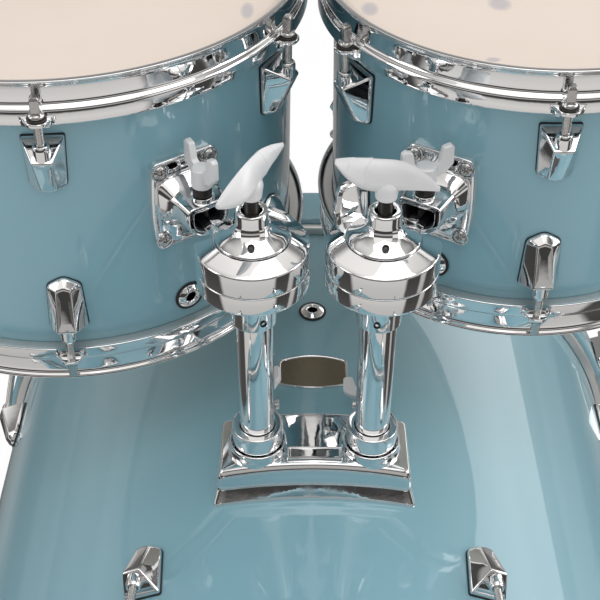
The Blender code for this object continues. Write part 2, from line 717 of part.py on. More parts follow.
def make_bracket(prefix, carrier, diameter, depth, bolt_turn, finishes):
    """Tom bracket with its hexagon rod socket, screws and wing bolt, at azimuth 0 of the tom."""
    radius = diameter / 2
    socket_z = depth / 2 + HOOP_LIP_RISE - BRACKET_DROP
    # Frame on the tom's side: Z away from the shell, Y up
    upright = axes((0, 0, socket_z), (0, 1, 0), (0, 0, 1), (1, 0, 0))
    raised = upright @ Matrix.Translation((0, BRACKET_RAISE, 0))
    back = radius - BRACKET_SUNK
    face = radius + GAP + BRACKET_PLATE
    outline = rounded(BRACKET_WIDTH / 2, BRACKET_HEIGHT / 2, BRACKET_CORNER, BRACKET_BULGE)
    plate = moved(prism(outline, face - back), raised @ Matrix.Translation((0, 0, back)))
    boss = cylinder(BRACKET_BOSS_RADIUS, back, face + BRACKET_BOSS_DEPTH, "X", (0, 0, socket_z + BRACKET_RAISE),
                    20, BRACKET_BOSS_RADIUS * 0.72)
    hex_half = HEX_ACROSS_FLATS / 2
    floor = -hex_half - GAP
    ceiling = hex_half + SOCKET_HEADROOM
    low = floor - SOCKET_WALL
    high = ceiling + SOCKET_WALL
    mouth = radius + SOCKET_DEPTH
    middle = Matrix.Translation((0, (low + high) / 2, 0))
    tube = moved(prism(rounded(SOCKET_WIDTH / 2, (high - low) / 2, BRACKET_CORNER, SINK), mouth - back),
                 upright @ middle @ Matrix.Translation((0, 0, back)))
    pocket = face - 0.001
    hollow = block((mouth - pocket + 0.01, SOCKET_WIDTH - 2 * SOCKET_WALL, ceiling - floor),
                   ((mouth + pocket + 0.01) / 2, 0, socket_z + (ceiling + floor) / 2))
    bolt_x = radius + BRACKET_BOLT_REACH
    pad = cylinder(WING_HUB_RADIUS, high - 0.002, high + BRACKET_PAD, offset=(bolt_x, 0, socket_z))
    thread = cylinder(THREAD_RADIUS + THREAD_CLEARANCE, 0, 0.04, offset=(bolt_x, 0, socket_z), sides=10)
    skin = turned([(0, depth), (radius + GAP, depth), (radius + GAP, -depth), (0, -depth)], TOM_FACETS)
    body = cut(join(plate, boss, tube, pad), hollow, thread, skin)
    piece(prefix + "_bracket", body, finishes["chrome"], carrier)

    x = BRACKET_WIDTH / 2 - SCREW_INSET
    y = BRACKET_HEIGHT / 2 - SCREW_INSET
    for row, sy in (("upper", 1), ("lower", -1)):
        for column, sx in (("left", -1), ("right", 1)):
            head = cylinder(SCREW_HEAD_RADIUS, 0, SCREW_HEAD_HEIGHT, sides=8, top_radius=SCREW_HEAD_RADIUS * 0.7)
            piece("%s_%s_%s_screw" % (prefix, row, column), head, finishes["chrome"], carrier,
                  raised @ Matrix.Translation((sx * x, sy * y, face + GAP)))

    tip = hex_half + GAP
    at_bolt = frame(prefix + "_bracket_bolt_axis", carrier,
                    Matrix.Translation((bolt_x, 0, socket_z + tip)) @ Matrix.Rotation(bolt_turn, 4, "Z"))
    piece(prefix + "_bracket_bolt", wing_bolt(high + BRACKET_PAD - tip, BRACKET_BOLT_STANDOFF), finishes["cast"],
          at_bolt)


def opening(half_angle, low, high):
    """A wedge about +Y from a clamp's axis, to cut the way out for the hexagon rod."""
    far = CLAMP_RADIUS * 2
    outline = [(0, 0), (far * sin(half_angle), far * cos(half_angle)), (0, far * 1.5),
               (-far * sin(half_angle), far * cos(half_angle))]
    return moved(prism(outline, high - low), Matrix.Translation((0, 0, low)))


def cup():
    """Lower half of the ball clamp with its pipe collar; height 0 is the ball's centre."""
    cone = (BALL_RADIUS + GAP) * sqrt(2)
    pit = BALL_RADIUS * 0.42
    well = CLAMP_RADIUS - CUP_WALL
    bottom = -CUP_HEIGHT
    roof = PIPE_TOP + GAP - BALL_HEIGHT
    foot = COLLAR_BOTTOM - BALL_HEIGHT
    bore = PIPE_RADIUS + PIPE_CLEARANCE
    profile = [(0, pit - cone), (pit, pit - cone), (well, well - cone), (well, -GAP / 2),
               (CLAMP_RADIUS, -GAP / 2),
               (CLAMP_RADIUS, bottom + CUP_EASE), (CLAMP_RADIUS - CUP_EASE, bottom), (COLLAR_RADIUS, bottom),
               (COLLAR_RADIUS, foot), (bore, foot), (bore, roof), (0, roof)]
    return cut(turned(profile, CLAMP_FACETS), opening(OPENING_ANGLE, -NOTCH_DEPTH, 0.01))


def clamp_ring(side):
    """Upper ring of the ball clamp: a low cone on top, and a hood on the inner side of the rod's opening."""
    cone_top = RING_HEIGHT + RING_CONE_RISE
    ring = turned([(CLAMP_RADIUS, RING_HEIGHT - RING_EASE), (CLAMP_RADIUS, GAP / 2), (RING_BORE, GAP / 2),
                   (RING_BORE, cone_top), (CAP_FLANGE_RADIUS + SINK, cone_top),
                   (CLAMP_RADIUS - RING_EASE, RING_HEIGHT)], CLAMP_FACETS)
    top = RING_HEIGHT + (RIGHT_HOOD_RISE if side > 0 else LEFT_HOOD_RISE)
    inner = CLAMP_RADIUS - HOOD_WALL
    low = RING_HEIGHT - 0.004
    wall = turned([(CLAMP_RADIUS, top), (CLAMP_RADIUS, low), (inner, low), (inner, top)], CLAMP_FACETS)
    span = CLAMP_RADIUS * 4
    outer_half = block((span, span, span), (side * span / 2, 0, 0))
    edge_y = CLAMP_RADIUS * cos(OPENING_ANGLE)
    over = moved(block((span, span, span), (0, 0, span / 2)),
                 Matrix.Translation((0, edge_y, top)) @ Matrix.Rotation(HOOD_SLOPE, 4, "X"))
    return cut(join(ring, cut(wall, outer_half, over)), opening(OPENING_ANGLE, -0.01, 0.08))


def cap():
    """Bell-shaped cap: flange on the ring, spigot with a cone over the ball, threaded neck."""
    cone = (BALL_RADIUS + GAP) * sqrt(2)
    spigot = RING_BORE - GAP
    low = CAP_SEAT - CAP_SPIGOT
    thread = THREAD_RADIUS + THREAD_CLEARANCE
    neck = CAP_TOP - CAP_NECK_HEIGHT
    flare = CAP_FLANGE_RADIUS
    profile = [(thread, CAP_TOP), (CAP_NECK_RADIUS, CAP_TOP), (CAP_NECK_RADIUS, neck),
               (flare * 0.62, neck - 0.0035), (flare * 0.86, CAP_SEAT + 0.003), (flare, CAP_SEAT + 0.001),
               (flare, CAP_SEAT), (spigot, CAP_SEAT), (spigot, low), (cone - low, low), (thread, cone - thread)]
    return turned(profile, CLAMP_FACETS)


def handle():
    """Large leaf-shaped wing handle with its threaded bolt; Z = 0 is the bolt's tip on the ball."""
    hub = CAP_TOP - BALL_RADIUS - GAP + HANDLE_LIFT
    shaft = cylinder(THREAD_RADIUS, 0, hub + 0.002, sides=10)
    boss = cylinder(HANDLE_HUB_RADIUS, hub, hub + HANDLE_THICKNESS, top_radius=HANDLE_HUB_RADIUS * 0.8)
    steps = 10
    upper = []
    for i in range(steps + 1):
        t = 1 - 2 * i / steps
        upper.append((HANDLE_LENGTH / 2 * t, HANDLE_WIDTH / 2 * (1 - abs(t) ** 2.2) + HANDLE_TIP))
    outline = upper + [(-x, -y) for x, y in upper]
    leaf = moved(prism(outline, HANDLE_THICKNESS), Matrix.Translation((0, 0, hub + HANDLE_THICKNESS * 0.7)))
    return join(shaft, boss, leaf)


def make_holder(finishes):
    """Double tom holder: base on the shell, then per side a pipe with its ball clamp.

    Returns the clamp frames.
    """
    home = frame("holder_frame", None, Matrix.Translation((0, HOLDER_Y, SHELL_TOP)))
    piece("holder_base", make_base(), finishes["chrome"], home)
    clamps = {}
    for name, side, azimuth, turn, bolt_turn in (
            ("left", -1, LOW_TOM_AZIMUTH, LEFT_HANDLE_TURN, LEFT_PIPE_BOLT_TURN),
            ("right", 1, HIGH_TOM_AZIMUTH, RIGHT_HANDLE_TURN, RIGHT_PIPE_BOLT_TURN)):
        at_pipe = frame(name + "_pipe_axis", home, Matrix.Translation((side * PIPE_SPACING / 2, 0, 0)))
        inner = PIPE_RADIUS - PIPE_WALL
        pipe = turned([(PIPE_RADIUS, PIPE_TOP), (PIPE_RADIUS, -PIPE_BELOW_SHELL), (inner, -PIPE_BELOW_SHELL),
                       (inner, PIPE_TOP)], PIPE_FACETS)
        piece(name + "_pipe", pipe, finishes["chrome"], at_pipe)
        piece(name + "_memory_clamp", memory_clamp(), finishes["chrome"], at_pipe)
        at_bolt = frame(name + "_pipe_bolt_axis", at_pipe,
                        Matrix.Translation((0, PIPE_RADIUS + GAP, BASE_BOLT_HEIGHT)) @ along("Y")
                        @ Matrix.Rotation(bolt_turn, 4, "Z"))
        piece(name + "_pipe_bolt", wing_bolt(BASE_BOSS_BACK - PIPE_RADIUS - GAP, BASE_BOLT_STANDOFF),
              finishes["cast"], at_bolt)

        clamp = frame(name + "_clamp_frame", at_pipe,
                      Matrix.Translation((0, 0, BALL_HEIGHT)) @ Matrix.Rotation(-side * azimuth, 4, "Z"))
        piece(name + "_clamp_cup", cup(), finishes["chrome"], clamp)
        piece(name + "_clamp_ring", clamp_ring(side), finishes["chrome"], clamp)
        piece(name + "_clamp_cap", cap(), finishes["chrome"], clamp)
        at_handle = frame(name + "_handle_axis", clamp, Matrix.Translation((0, 0, BALL_RADIUS + GAP))
                          @ Matrix.Rotation(turn + side * azimuth, 4, "Z"))
        piece(name + "_handle", handle(), finishes["cast"], at_handle)
        clamps[name] = clamp
    return clamps


def make_base():
    """Cast base plate that straddles the shell, with a seat round each pipe and a boss for each bolt."""
    points = []
    columns = 6
    for i in range(columns + 1):
        t = -1 + 2 * i / columns
        x = t * BASE_TOP_WIDTH / 2
        z = BASE_HEIGHT - BASE_SHOULDER_DROP * t * t
        points += [(x, BASE_RIDGE, z), (x, BASE_BACK - 0.004, z)]
    for sx in (-1, 1):
        points += [(sx * BASE_WIDTH / 2, y, -BASE_SKIRT) for y in (-BASE_FRONT, BASE_BACK)]
    body = hull(points)
    half = PIPE_SPACING / 2
    seats = [cylinder(SEAT_RADIUS + 0.0015, 0, SEAT_TOP, offset=(s * half, 0, 0), sides=20,
                      top_radius=SEAT_RADIUS)
             for s in (-1, 1)]
    bosses = [cylinder(BASE_BOSS_RADIUS, 0.014, BASE_BOSS_BACK, "Y", (s * half, 0, BASE_BOLT_HEIGHT), 14)
              for s in (-1, 1)]
    plaque = block((PLAQUE_WIDTH, PLAQUE_DEPTH, PLAQUE_RISE * 2),
                   (0, BASE_RIDGE + PLAQUE_DEPTH / 2 + 0.002, BASE_HEIGHT))
    bores = [cylinder(PIPE_RADIUS + PIPE_CLEARANCE, -0.03, 0.06, offset=(s * half, 0, 0), sides=PIPE_FACETS)
             for s in (-1, 1)]
    threads = [cylinder(THREAD_RADIUS + THREAD_CLEARANCE, 0.005, 0.06, "Y", (s * half, 0, BASE_BOLT_HEIGHT), 10)
               for s in (-1, 1)]
    length = BASE_FRONT + BASE_BACK
    under = turned([(0, length), (BASS_RADIUS + GAP, length), (BASS_RADIUS + GAP, -length), (0, -length)],
                   BASS_FACETS)
    drum_axis = (Matrix.Translation((0, 0, -flat_radius(BASS_RADIUS, BASS_FACETS)))
                 @ Matrix.Rotation(-pi / 2, 4, "X"))
    return cut(join(body, *seats, *bosses, plaque), *bores, *threads, moved(under, drum_axis))


def memory_clamp():
    """Split collar that keeps the pipe's height: two ears behind, drawn together by a key bolt."""
    low = SEAT_TOP + GAP
    high = low + MEMORY_HEIGHT
    inner = PIPE_RADIUS + PIPE_CLEARANCE
    middle = (low + high) / 2
    ring = turned([(MEMORY_RADIUS, high), (MEMORY_RADIUS, low), (inner, low), (inner, high)], PIPE_FACETS)
    half_ear = MEMORY_EAR_LENGTH / 2
    ears = block((MEMORY_EAR_WIDTH, MEMORY_EAR_LENGTH, MEMORY_HEIGHT * 0.8),
                 (0, MEMORY_RADIUS + half_ear - MEMORY_SLIT, middle))
    bolt = cylinder(MEMORY_BOLT_RADIUS, -MEMORY_EAR_WIDTH, MEMORY_EAR_WIDTH, "X",
                    (0, MEMORY_RADIUS + half_ear, middle), 8)
    slit = block((MEMORY_SLIT, 0.016, MEMORY_HEIGHT * 2), (0, MEMORY_RADIUS - 0.005, middle))
    return join(cut(join(ring, ears), slit), bolt)


def make_spurs(finishes):
    """Folding spurs on both sides near the front: brackets, legs, rubber feet and wing bolts."""
    angle = SPUR_FACETS_FROM_TOP * 2 * pi / BASS_FACETS
    pivot_radius = flat_radius(BASS_RADIUS, BASS_FACETS) + SPUR_PIVOT_HEIGHT
    front_y = BASS_CENTRE_Y - BASS_DEPTH / 2 + SPUR_INSET
    for name, side in (("left", -1), ("right", 1)):
        outward = Vector((side * sin(angle), 0, cos(angle)))
        rear = Vector((0, 1, 0))
        pivot = Vector((0, front_y, BASS_AXIS_HEIGHT)) + outward * pivot_radius
        # X away from the shell, Y towards the player, Z along the hinge
        at_pivot = axes(pivot, outward, rear, outward.cross(rear))
        hinge = frame(name + "_spur_axis", None, at_pivot)
        piece(name + "_spur_bracket", spur_bracket(), finishes["chrome"], hinge)
        leg_turn = Matrix.Rotation(-SPUR_SPLAY, 4, "Z")
        to_floor = pivot.z / (-outward.z * cos(SPUR_SPLAY))
        foot_top = to_floor - SPUR_FOOT_LENGTH
        shoulder = foot_top - SPUR_FOOT_TRAVEL - GAP
        leg = cylinder(SPUR_LEG_RADIUS, 0, shoulder, "X")
        eye = cylinder(SPUR_EYE_RADIUS, -SPUR_EYE_WIDTH / 2, SPUR_EYE_WIDTH / 2)
        spike = cylinder(SPUR_SPIKE_RADIUS, shoulder - 0.002, foot_top + SPUR_SPIKE_LENGTH, "X", sides=8)
        pin_hole = cylinder(SPUR_BOLT_RADIUS + GAP * 2, -0.05, 0.05)
        piece(name + "_spur_leg", cut(join(leg, eye, spike), pin_hole), finishes["chrome"], hinge, leg_turn)
        foot = moved(spur_foot(foot_top, to_floor), leg_turn @ along("X"))
        ground = moved(block((1, 1, 1), (0, 0, -0.5)),
                       at_pivot.inverted() @ Matrix.Translation((pivot.x, pivot.y, 0)))
        piece(name + "_spur_foot", cut(foot, ground), finishes["rubber"], hinge)
        reach = SPUR_EYE_WIDTH / 2 + GAP + SPUR_CHEEK
        bolt = moved(wing_bolt(2 * reach, 0.0015), Matrix.Translation((0, 0, -reach)))
        piece(name + "_spur_bolt", bolt, finishes["cast"], hinge)


def spur_foot(top, end):
    """Rubber foot round the leg's spike, along Z; the spike has room to screw deeper."""
    hole = SPUR_SPIKE_RADIUS + GAP * 2
    blind = top + SPUR_SPIKE_LENGTH + SPUR_FOOT_TRAVEL + 0.001
    return turned([(0, blind), (hole, blind), (hole, top), (SPUR_FOOT_RADIUS * 0.8, top),
                   (SPUR_FOOT_RADIUS, top + 0.010), (SPUR_FOOT_RADIUS, end + 0.008), (0, end + 0.014)], 12)


def spur_bracket():
    """A spur bracket about its hinge: a curved plate on the shell with two cheeks round the leg's eye."""
    cheek_at = SPUR_EYE_WIDTH / 2 + GAP + SPUR_CHEEK / 2
    depth = SPUR_PIVOT_HEIGHT
    thick = SPUR_PLATE_THICKNESS + 0.004
    plate = block((thick, SPUR_PLATE_LENGTH, SPUR_PLATE_WIDTH), (SPUR_PLATE_THICKNESS - depth - thick / 2, 0, 0))
    cheeks = []
    for s in (-1, 1):
        cheeks.append(block((depth, SPUR_EYE_RADIUS * 2, SPUR_CHEEK), (-depth / 2 - 0.001, 0, s * cheek_at)))
        cheeks.append(cylinder(SPUR_EYE_RADIUS, s * cheek_at - SPUR_CHEEK / 2, s * cheek_at + SPUR_CHEEK / 2))
    pin_hole = cylinder(SPUR_BOLT_RADIUS + GAP * 2, -0.05, 0.05)
    skin = turned([(0, 0.1), (BASS_RADIUS + GAP, 0.1), (BASS_RADIUS + GAP, -0.1), (0, -0.1)], BASS_FACETS)
    to_axis = (Matrix.Translation((-flat_radius(BASS_RADIUS, BASS_FACETS) - SPUR_PIVOT_HEIGHT, 0, 0))
               @ Matrix.Rotation(-pi / 2, 4, "X"))
    return cut(join(plate, *cheeks), pin_hole, moved(skin, to_axis))


def make_tom_mount(prefix, clamp, diameter, depth, side, azimuth, bolt_turn, finishes):
    """Ball, hexagon rod and the tom that hangs on it."""
    axis = Matrix.Rotation(-side * TOM_LEAN, 4, "Y") @ Vector((0, 0, 1))
    outward = Vector((side * sin(azimuth), cos(azimuth), 0))
    outward = (outward - axis * outward.dot(axis)).normalized()
    # In the ball's own frame X runs along the rod to the tom, Z along the tom's axis
    upright = Matrix.Rotation(-side * azimuth, 4, "Z")
    name = "left" if side < 0 else "right"
    at_ball = frame(name + "_ball_axis", clamp,
                    upright.inverted() @ axes((0, 0, 0), outward, axis.cross(outward), axis))
    bm = bmesh.new()
    bmesh.ops.create_uvsphere(bm, u_segments=14, v_segments=8, radius=BALL_RADIUS)
    reach = ROD_REACH - HEX_END_GAP - BRACKET_PLATE
    hole = cylinder(HEX_RADIUS + 0.0006, HEX_START - GAP, BALL_RADIUS * 2, "X")
    piece(name + "_ball", cut(shape(bm), hole), finishes["resin"], at_ball)
    rod = cylinder(HEX_RADIUS, HEX_START, reach, "X", sides=6)
    piece(name + "_hex_rod", rod, finishes["chrome"], at_ball)
    socket_z = depth / 2 + HOOP_LIP_RISE - BRACKET_DROP
    place = (Matrix.Translation((ROD_REACH + diameter / 2, 0, 0)) @ Matrix.Rotation(pi, 4, "Z")
             @ Matrix.Translation((0, 0, -socket_z)))
    carrier = make_tom(prefix, at_ball, place, diameter, depth, finishes)
    make_bracket(prefix, carrier, diameter, depth, bolt_turn, finishes)


def main():
    """Build the whole kit."""
    start_scene()
    finishes = {
        "wrap": material("pale_blue_lacquer", (0.18, 0.36, 0.43), 0.12, 0.0),
        "film": material("coated_film", (0.82, 0.74, 0.65), 0.5, 0.0),
        "chrome": material("chrome", (0.82, 0.83, 0.85), 0.06, 1.0),
        "cast": material("grey_cast_metal", (0.62, 0.62, 0.63), 0.42, 0.6),
        "resin": material("dark_resin", (0.03, 0.03, 0.035), 0.4, 0.0),
        "rubber": material("black_rubber", (0.02, 0.02, 0.02), 0.75, 0.0),
        "bronze": material("bronze_plate", (0.30, 0.22, 0.15), 0.35, 0.9),
    }
    make_bass_drum(finishes)
    make_spurs(finishes)
    clamps = make_holder(finishes)
    make_tom_mount("low_tom", clamps["left"], LOW_TOM_DIAMETER, LOW_TOM_DEPTH, -1, LOW_TOM_AZIMUTH,
                   LEFT_BRACKET_BOLT_TURN, finishes)
    make_tom_mount("high_tom", clamps["right"], HIGH_TOM_DIAMETER, HIGH_TOM_DEPTH, 1, HIGH_TOM_AZIMUTH,
                   RIGHT_BRACKET_BOLT_TURN, finishes)


main()
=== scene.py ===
from math import asin, cos, pi, radians, sin, sqrt

import bpy
import numpy as np
from mathutils import Matrix


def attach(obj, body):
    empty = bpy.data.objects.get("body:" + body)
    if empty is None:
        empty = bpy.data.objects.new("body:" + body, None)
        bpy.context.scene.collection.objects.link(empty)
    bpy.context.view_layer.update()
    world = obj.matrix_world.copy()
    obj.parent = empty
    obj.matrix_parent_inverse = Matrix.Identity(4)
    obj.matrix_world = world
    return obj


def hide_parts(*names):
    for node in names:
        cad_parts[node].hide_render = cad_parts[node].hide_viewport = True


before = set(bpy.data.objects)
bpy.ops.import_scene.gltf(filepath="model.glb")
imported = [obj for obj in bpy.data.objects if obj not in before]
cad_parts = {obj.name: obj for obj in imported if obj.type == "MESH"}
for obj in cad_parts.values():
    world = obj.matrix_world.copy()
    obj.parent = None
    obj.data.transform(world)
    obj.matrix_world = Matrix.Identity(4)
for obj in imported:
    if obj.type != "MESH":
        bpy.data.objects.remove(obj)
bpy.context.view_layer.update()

nudge = 0.0003   # the gap that the solids keep between pieces that touch


# Places are 4 x 4 matrices in numpy
def shift(x, y, z):
    place = np.eye(4)
    place[:3, 3] = x, y, z
    return place


def turn(angle, axis):
    place = np.eye(4)
    i, j = {"X": (1, 2), "Y": (2, 0), "Z": (0, 1)}[axis]
    place[i, i] = place[j, j] = cos(angle)
    place[i, j], place[j, i] = -sin(angle), sin(angle)
    return place


def axes(origin, x, y, z):
    place = np.eye(4)
    place[:3] = np.stack([x, y, z, origin], 1)
    return place


def seat(radius, azimuth, height, up=1):
    # On a drum's side: Z points away from its axis, Y along the axis to the nearer hoop
    outward = np.array([cos(azimuth), sin(azimuth), 0.0])
    towards = np.array([0.0, 0.0, up])
    return axes(outward * radius + (0, 0, height), np.cross(towards, outward), towards, outward)


def around(count):
    return [(i + 0.5) * 2 * pi / count for i in range(count)]


# Surfaces: every form is a closed grid of points, worked out as whole arrays
def eased(rows, radius, steps=4, closed=True):
    # Each row P is replaced by the curve (1-t)^2 A + 2t(1-t) P + t^2 B, where A and B lie
    # "radius" before and after P on the way to its neighbours. Rows are points or outlines.
    rows = np.asarray(rows, float)
    reach = np.broadcast_to(np.asarray(radius, float), len(rows))
    reach = reach.reshape((-1,) + (1,) * (rows.ndim - 1))
    back, ahead = np.roll(rows, 1, 0) - rows, np.roll(rows, -1, 0) - rows
    backLength = np.linalg.norm(back, axis=-1, keepdims=True) + 1e-9
    aheadLength = np.linalg.norm(ahead, axis=-1, keepdims=True) + 1e-9
    start = rows + back * np.minimum(reach / backLength, 0.49)
    end = rows + ahead * np.minimum(reach / aheadLength, 0.49)
    t = np.linspace(0, 1, steps + 1).reshape((1, -1) + (1,) * (rows.ndim - 1))
    curve = start[:, None] * (1 - t) ** 2 + rows[:, None] * 2 * t * (1 - t) + end[:, None] * t ** 2
    if closed:
        return curve.reshape((-1,) + rows.shape[1:])
    inner = curve[1:-1].reshape((-1,) + rows.shape[1:])
    return np.concatenate([rows[:1], inner, rows[-1:]])


class Form:
    def __init__(self, points, quads, caps=()):
        self.points, self.quads, self.caps = points, quads, [np.asarray(c) for c in caps]

    def volume(self):
        # Six times the volume: the sum of the triple products of a fan over each face
        faces = [self.quads[:, [0, 1, 2]], self.quads[:, [0, 2, 3]]]
        faces += [np.stack([np.full(len(c) - 2, c[0]), c[1:-1], c[2:]], 1) for c in self.caps]
        a, b, c = (self.points[np.concatenate(faces)[:, i]] for i in range(3))
        return (a * np.cross(b, c)).sum()

    def outward(self):
        if self.volume() < 0:
            self.quads = self.quads[:, ::-1]
            self.caps = [c[::-1] for c in self.caps]
        return self

    def at(self, *places):
        made = []
        for place in places:
            points = self.points @ place[:3, :3].T + place[:3, 3]
            made.append(Form(points, self.quads, self.caps).outward())
        return gathered(made)


def gathered(forms):
    points, quads, caps, count = [], [], [], 0
    for form in forms:
        points.append(form.points)
        quads.append(form.quads + count)
        caps += [c + count for c in form.caps]
        count += len(form.points)
    return Form(np.concatenate(points), np.concatenate(quads), caps)


def skinned(rows, closed=False):
    # Faces between rows of points that each close on themselves; the ends are flat caps,
    # or the last row meets the first
    rows = np.asarray(rows, float)
    n, m = rows.shape[:2]
    i, j = np.meshgrid(np.arange(n if closed else n - 1), np.arange(m), indexing="ij")
    i, j = i.ravel(), j.ravel()
    nextRow, nextPoint = (i + 1) % n, (j + 1) % m
    quads = np.stack([i * m + j, i * m + nextPoint, nextRow * m + nextPoint, nextRow * m + j], 1)
    caps = [] if closed else [np.arange(m)[::-1], (n - 1) * m + np.arange(m)]
    return Form(rows.reshape(-1, 3), quads, caps).outward()


def turned(profile, radii, count=128, closed=False, steps=4):
    # A profile of (radius, height) with eased corners, turned round Z
    profile = eased(profile, radii, steps, closed)
    angles = (np.arange(count) + 0.5) * 2 * pi / count
    ring = np.stack([np.cos(angles), np.sin(angles)], 1)
    flat = profile[:, None, :1] * ring[None]
    tall = np.broadcast_to(profile[:, None, 1:], flat.shape[:2] + (1,))
    return skinned(np.concatenate([flat, tall], 2), closed)


def lifted(outline, heights, insets, radii, steps=4):
    # The flat outline raised through the heights; at each it is drawn in by an inset, by
    # scaling about its middle, and the edges between are eased
    outline = np.asarray(outline, float)
    middle = (outline.max(0) + outline.min(0)) / 2
    half = (outline.max(0) - outline.min(0)) / 2
    rows = []
    for height, inset in zip(heights, insets):
        flat = middle + (outline - middle) * (1 - inset / half)
        rows.append(np.column_stack([flat, np.full(len(flat), height)]))
    return skinned(eased(rows, radii, steps, closed=False))


def slab(outline, low, high, ease=0.0005):
    # A plate of a flat outline with small eased edges at both faces
    return lifted(outline, [low, low, high, high], [ease * 2, 0, 0, ease * 2], [0, ease, ease, 0], 3)


def rectangle(width, height, corner, steps=4):
    x, y = width / 2, height / 2
    return eased([(x, y), (-x, y), (-x, -y), (x, -y)], corner, steps)


def polygon(radius, sides, corner=0.0004, phase=0.0):
    angles = phase + np.arange(sides) * 2 * pi / sides
    return eased(np.stack([radius * np.cos(angles), radius * np.sin(angles)], 1), corner, 3)


def rounds(radius, low, high, ease=0.0004, count=32, hole=None):
    # A disc, bar or washer along Z with eased edges
    if hole is None:
        profile = [(radius - 3 * ease, low), (radius, low), (radius, high), (radius - 3 * ease, high)]
        return turned(profile, [0, ease, ease, 0], count)
    profile = [(radius, low), (radius, high), (hole, high), (hole, low)]
    return turned(profile, ease, count, closed=True)


def piece(name, forms, finishName, body, nodes=(), angle=32, cutters=()):
    form = gathered(forms if isinstance(forms, list) else [forms])
    obj = meshObject(name, form, finish[finishName])
    for cutter in cutters:
        cut(obj, cutter)
    obj.data.shade_smooth()
    obj.data.set_sharp_from_angle(angle=radians(angle))
    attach(obj, body)
    if nodes:
        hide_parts(*nodes)
    return obj


def meshObject(name, form, material=None):
    faces = [form.quads.ravel()] + form.caps
    sizes = np.concatenate([np.full(len(form.quads), 4), [len(c) for c in form.caps]]).astype(np.int32)
    corners = np.concatenate(faces).astype(np.int32)
    mesh = bpy.data.meshes.new(name)
    mesh.vertices.add(len(form.points))
    mesh.vertices.foreach_set("co", form.points.astype(np.float32).ravel())
    mesh.loops.add(len(corners))
    mesh.loops.foreach_set("vertex_index", corners)
    mesh.polygons.add(len(sizes))
    mesh.polygons.foreach_set("loop_start", (np.cumsum(sizes) - sizes).astype(np.int32))
    mesh.update(calc_edges=True)
    mesh.validate()
    if material:
        mesh.materials.append(material)
    obj = bpy.data.objects.new(name, mesh)
    bpy.context.scene.collection.objects.link(obj)
    return obj


def cut(obj, form):
    # Takes a closed form out of a piece with a Boolean, made real at once
    cutter = meshObject("cutter", form)
    modifier = obj.modifiers.new("cut", "BOOLEAN")
    modifier.operation, modifier.solver, modifier.object = "DIFFERENCE", "EXACT", cutter
    bpy.context.view_layer.update()
    graph = bpy.context.evaluated_depsgraph_get()
    mesh = bpy.data.meshes.new_from_object(obj.evaluated_get(graph))
    obj.modifiers.clear()
    old, obj.data = obj.data, mesh
    mesh.name = obj.name
    bpy.data.meshes.remove(old)
    bpy.data.objects.remove(cutter)


# Shader maths: expressions on values add their own Math nodes
class Value:
    def __init__(self, nodes, socket):
        self.nodes, self.socket = nodes, socket

    def maths(self, kind, other=None, flip=False):
        pair = [self.socket, other.socket if isinstance(other, Value) else other]
        inputs = pair[::-1] if flip else pair
        inputs = {i: v for i, v in enumerate(inputs) if v is not None}
        return self.nodes.node("ShaderNodeMath", {"operation": kind}, inputs)

    def __add__(self, other): return self.maths("ADD", other)
    def __mul__(self, other): return self.maths("MULTIPLY", other)
    def __sub__(self, other): return self.maths("SUBTRACT", other)
    def __rsub__(self, other): return self.maths("SUBTRACT", other, flip=True)
    def __pow__(self, other): return self.maths("POWER", other)
    __radd__, __rmul__ = __add__, __mul__


class Nodes:
    # A node tree; node() adds any node from its type, its settings and its inputs
    def __init__(self, owner):
        self.made = owner
        owner.use_nodes = True
        self.tree = owner.node_tree

    def feed(self, socket, value):
        value = value.socket if isinstance(value, Value) else value
        if isinstance(value, bpy.types.NodeSocket):
            self.tree.links.new(value, socket)
        else:
            socket.default_value = value

    def node(self, kind, settings=None, inputs=None, output=0):
        node = self.tree.nodes.new(kind)
        for key, value in (settings or {}).items():
            if key == "stops":
                ramp = node.color_ramp
                while len(ramp.elements) < len(value):
                    ramp.elements.new(0.5)
                for element, (at, colour) in zip(ramp.elements, value):
                    element.position, element.color = at, (*colour, 1)
            else:
                setattr(node, key, value)
        for key, value in (inputs or {}).items():
            self.feed(node.inputs[key], value)
        return Value(self, node.outputs[output])

    def parts(self, vector):
        node = self.node("ShaderNodeSeparateXYZ", None, {"Vector": vector}).socket.node
        return [Value(self, output) for output in node.outputs]

    def ramp(self, value, stops):
        return self.node("ShaderNodeValToRGB", {"stops": stops}, {"Fac": value})

    def blend(self, share, first, second):
        # Colour mix: first where share is 0, second where it is 1
        return self.node("ShaderNodeMix", {"data_type": "RGBA", "clamp_factor": True},
                         {0: share, 6: (*first, 1) if isinstance(first, tuple) else first,
                          7: (*second, 1) if isinstance(second, tuple) else second}, output=2)


class Finish(Nodes):
    # A Principled material
    def __init__(self, name, colour, roughness, metallic=0.0, **fixed):
        super().__init__(bpy.data.materials.new(name))
        self.shader = self.tree.nodes["Principled BSDF"]
        self.set(**{"Base Color": (*colour, 1), "Roughness": roughness, "Metallic": metallic})
        self.set(**{key.replace("_", " "): value for key, value in fixed.items()})
        self.place = self.node("ShaderNodeTexCoord", output="Object").socket

    def set(self, **inputs):
        for key, value in inputs.items():
            self.feed(self.shader.inputs[key], value)

    def noise(self, scale, detail=3, stretch=(1, 1, 1), roughness=0.5):
        spot = self.node("ShaderNodeMapping", None, {"Vector": self.place, "Scale": stretch})
        return self.node("ShaderNodeTexNoise", None, {"Vector": spot, "Scale": scale, "Detail": detail,
                                                      "Roughness": roughness})

    def bump(self, height, strength, distance):
        return self.node("ShaderNodeBump", None,
                         {"Height": height, "Strength": strength, "Distance": distance})


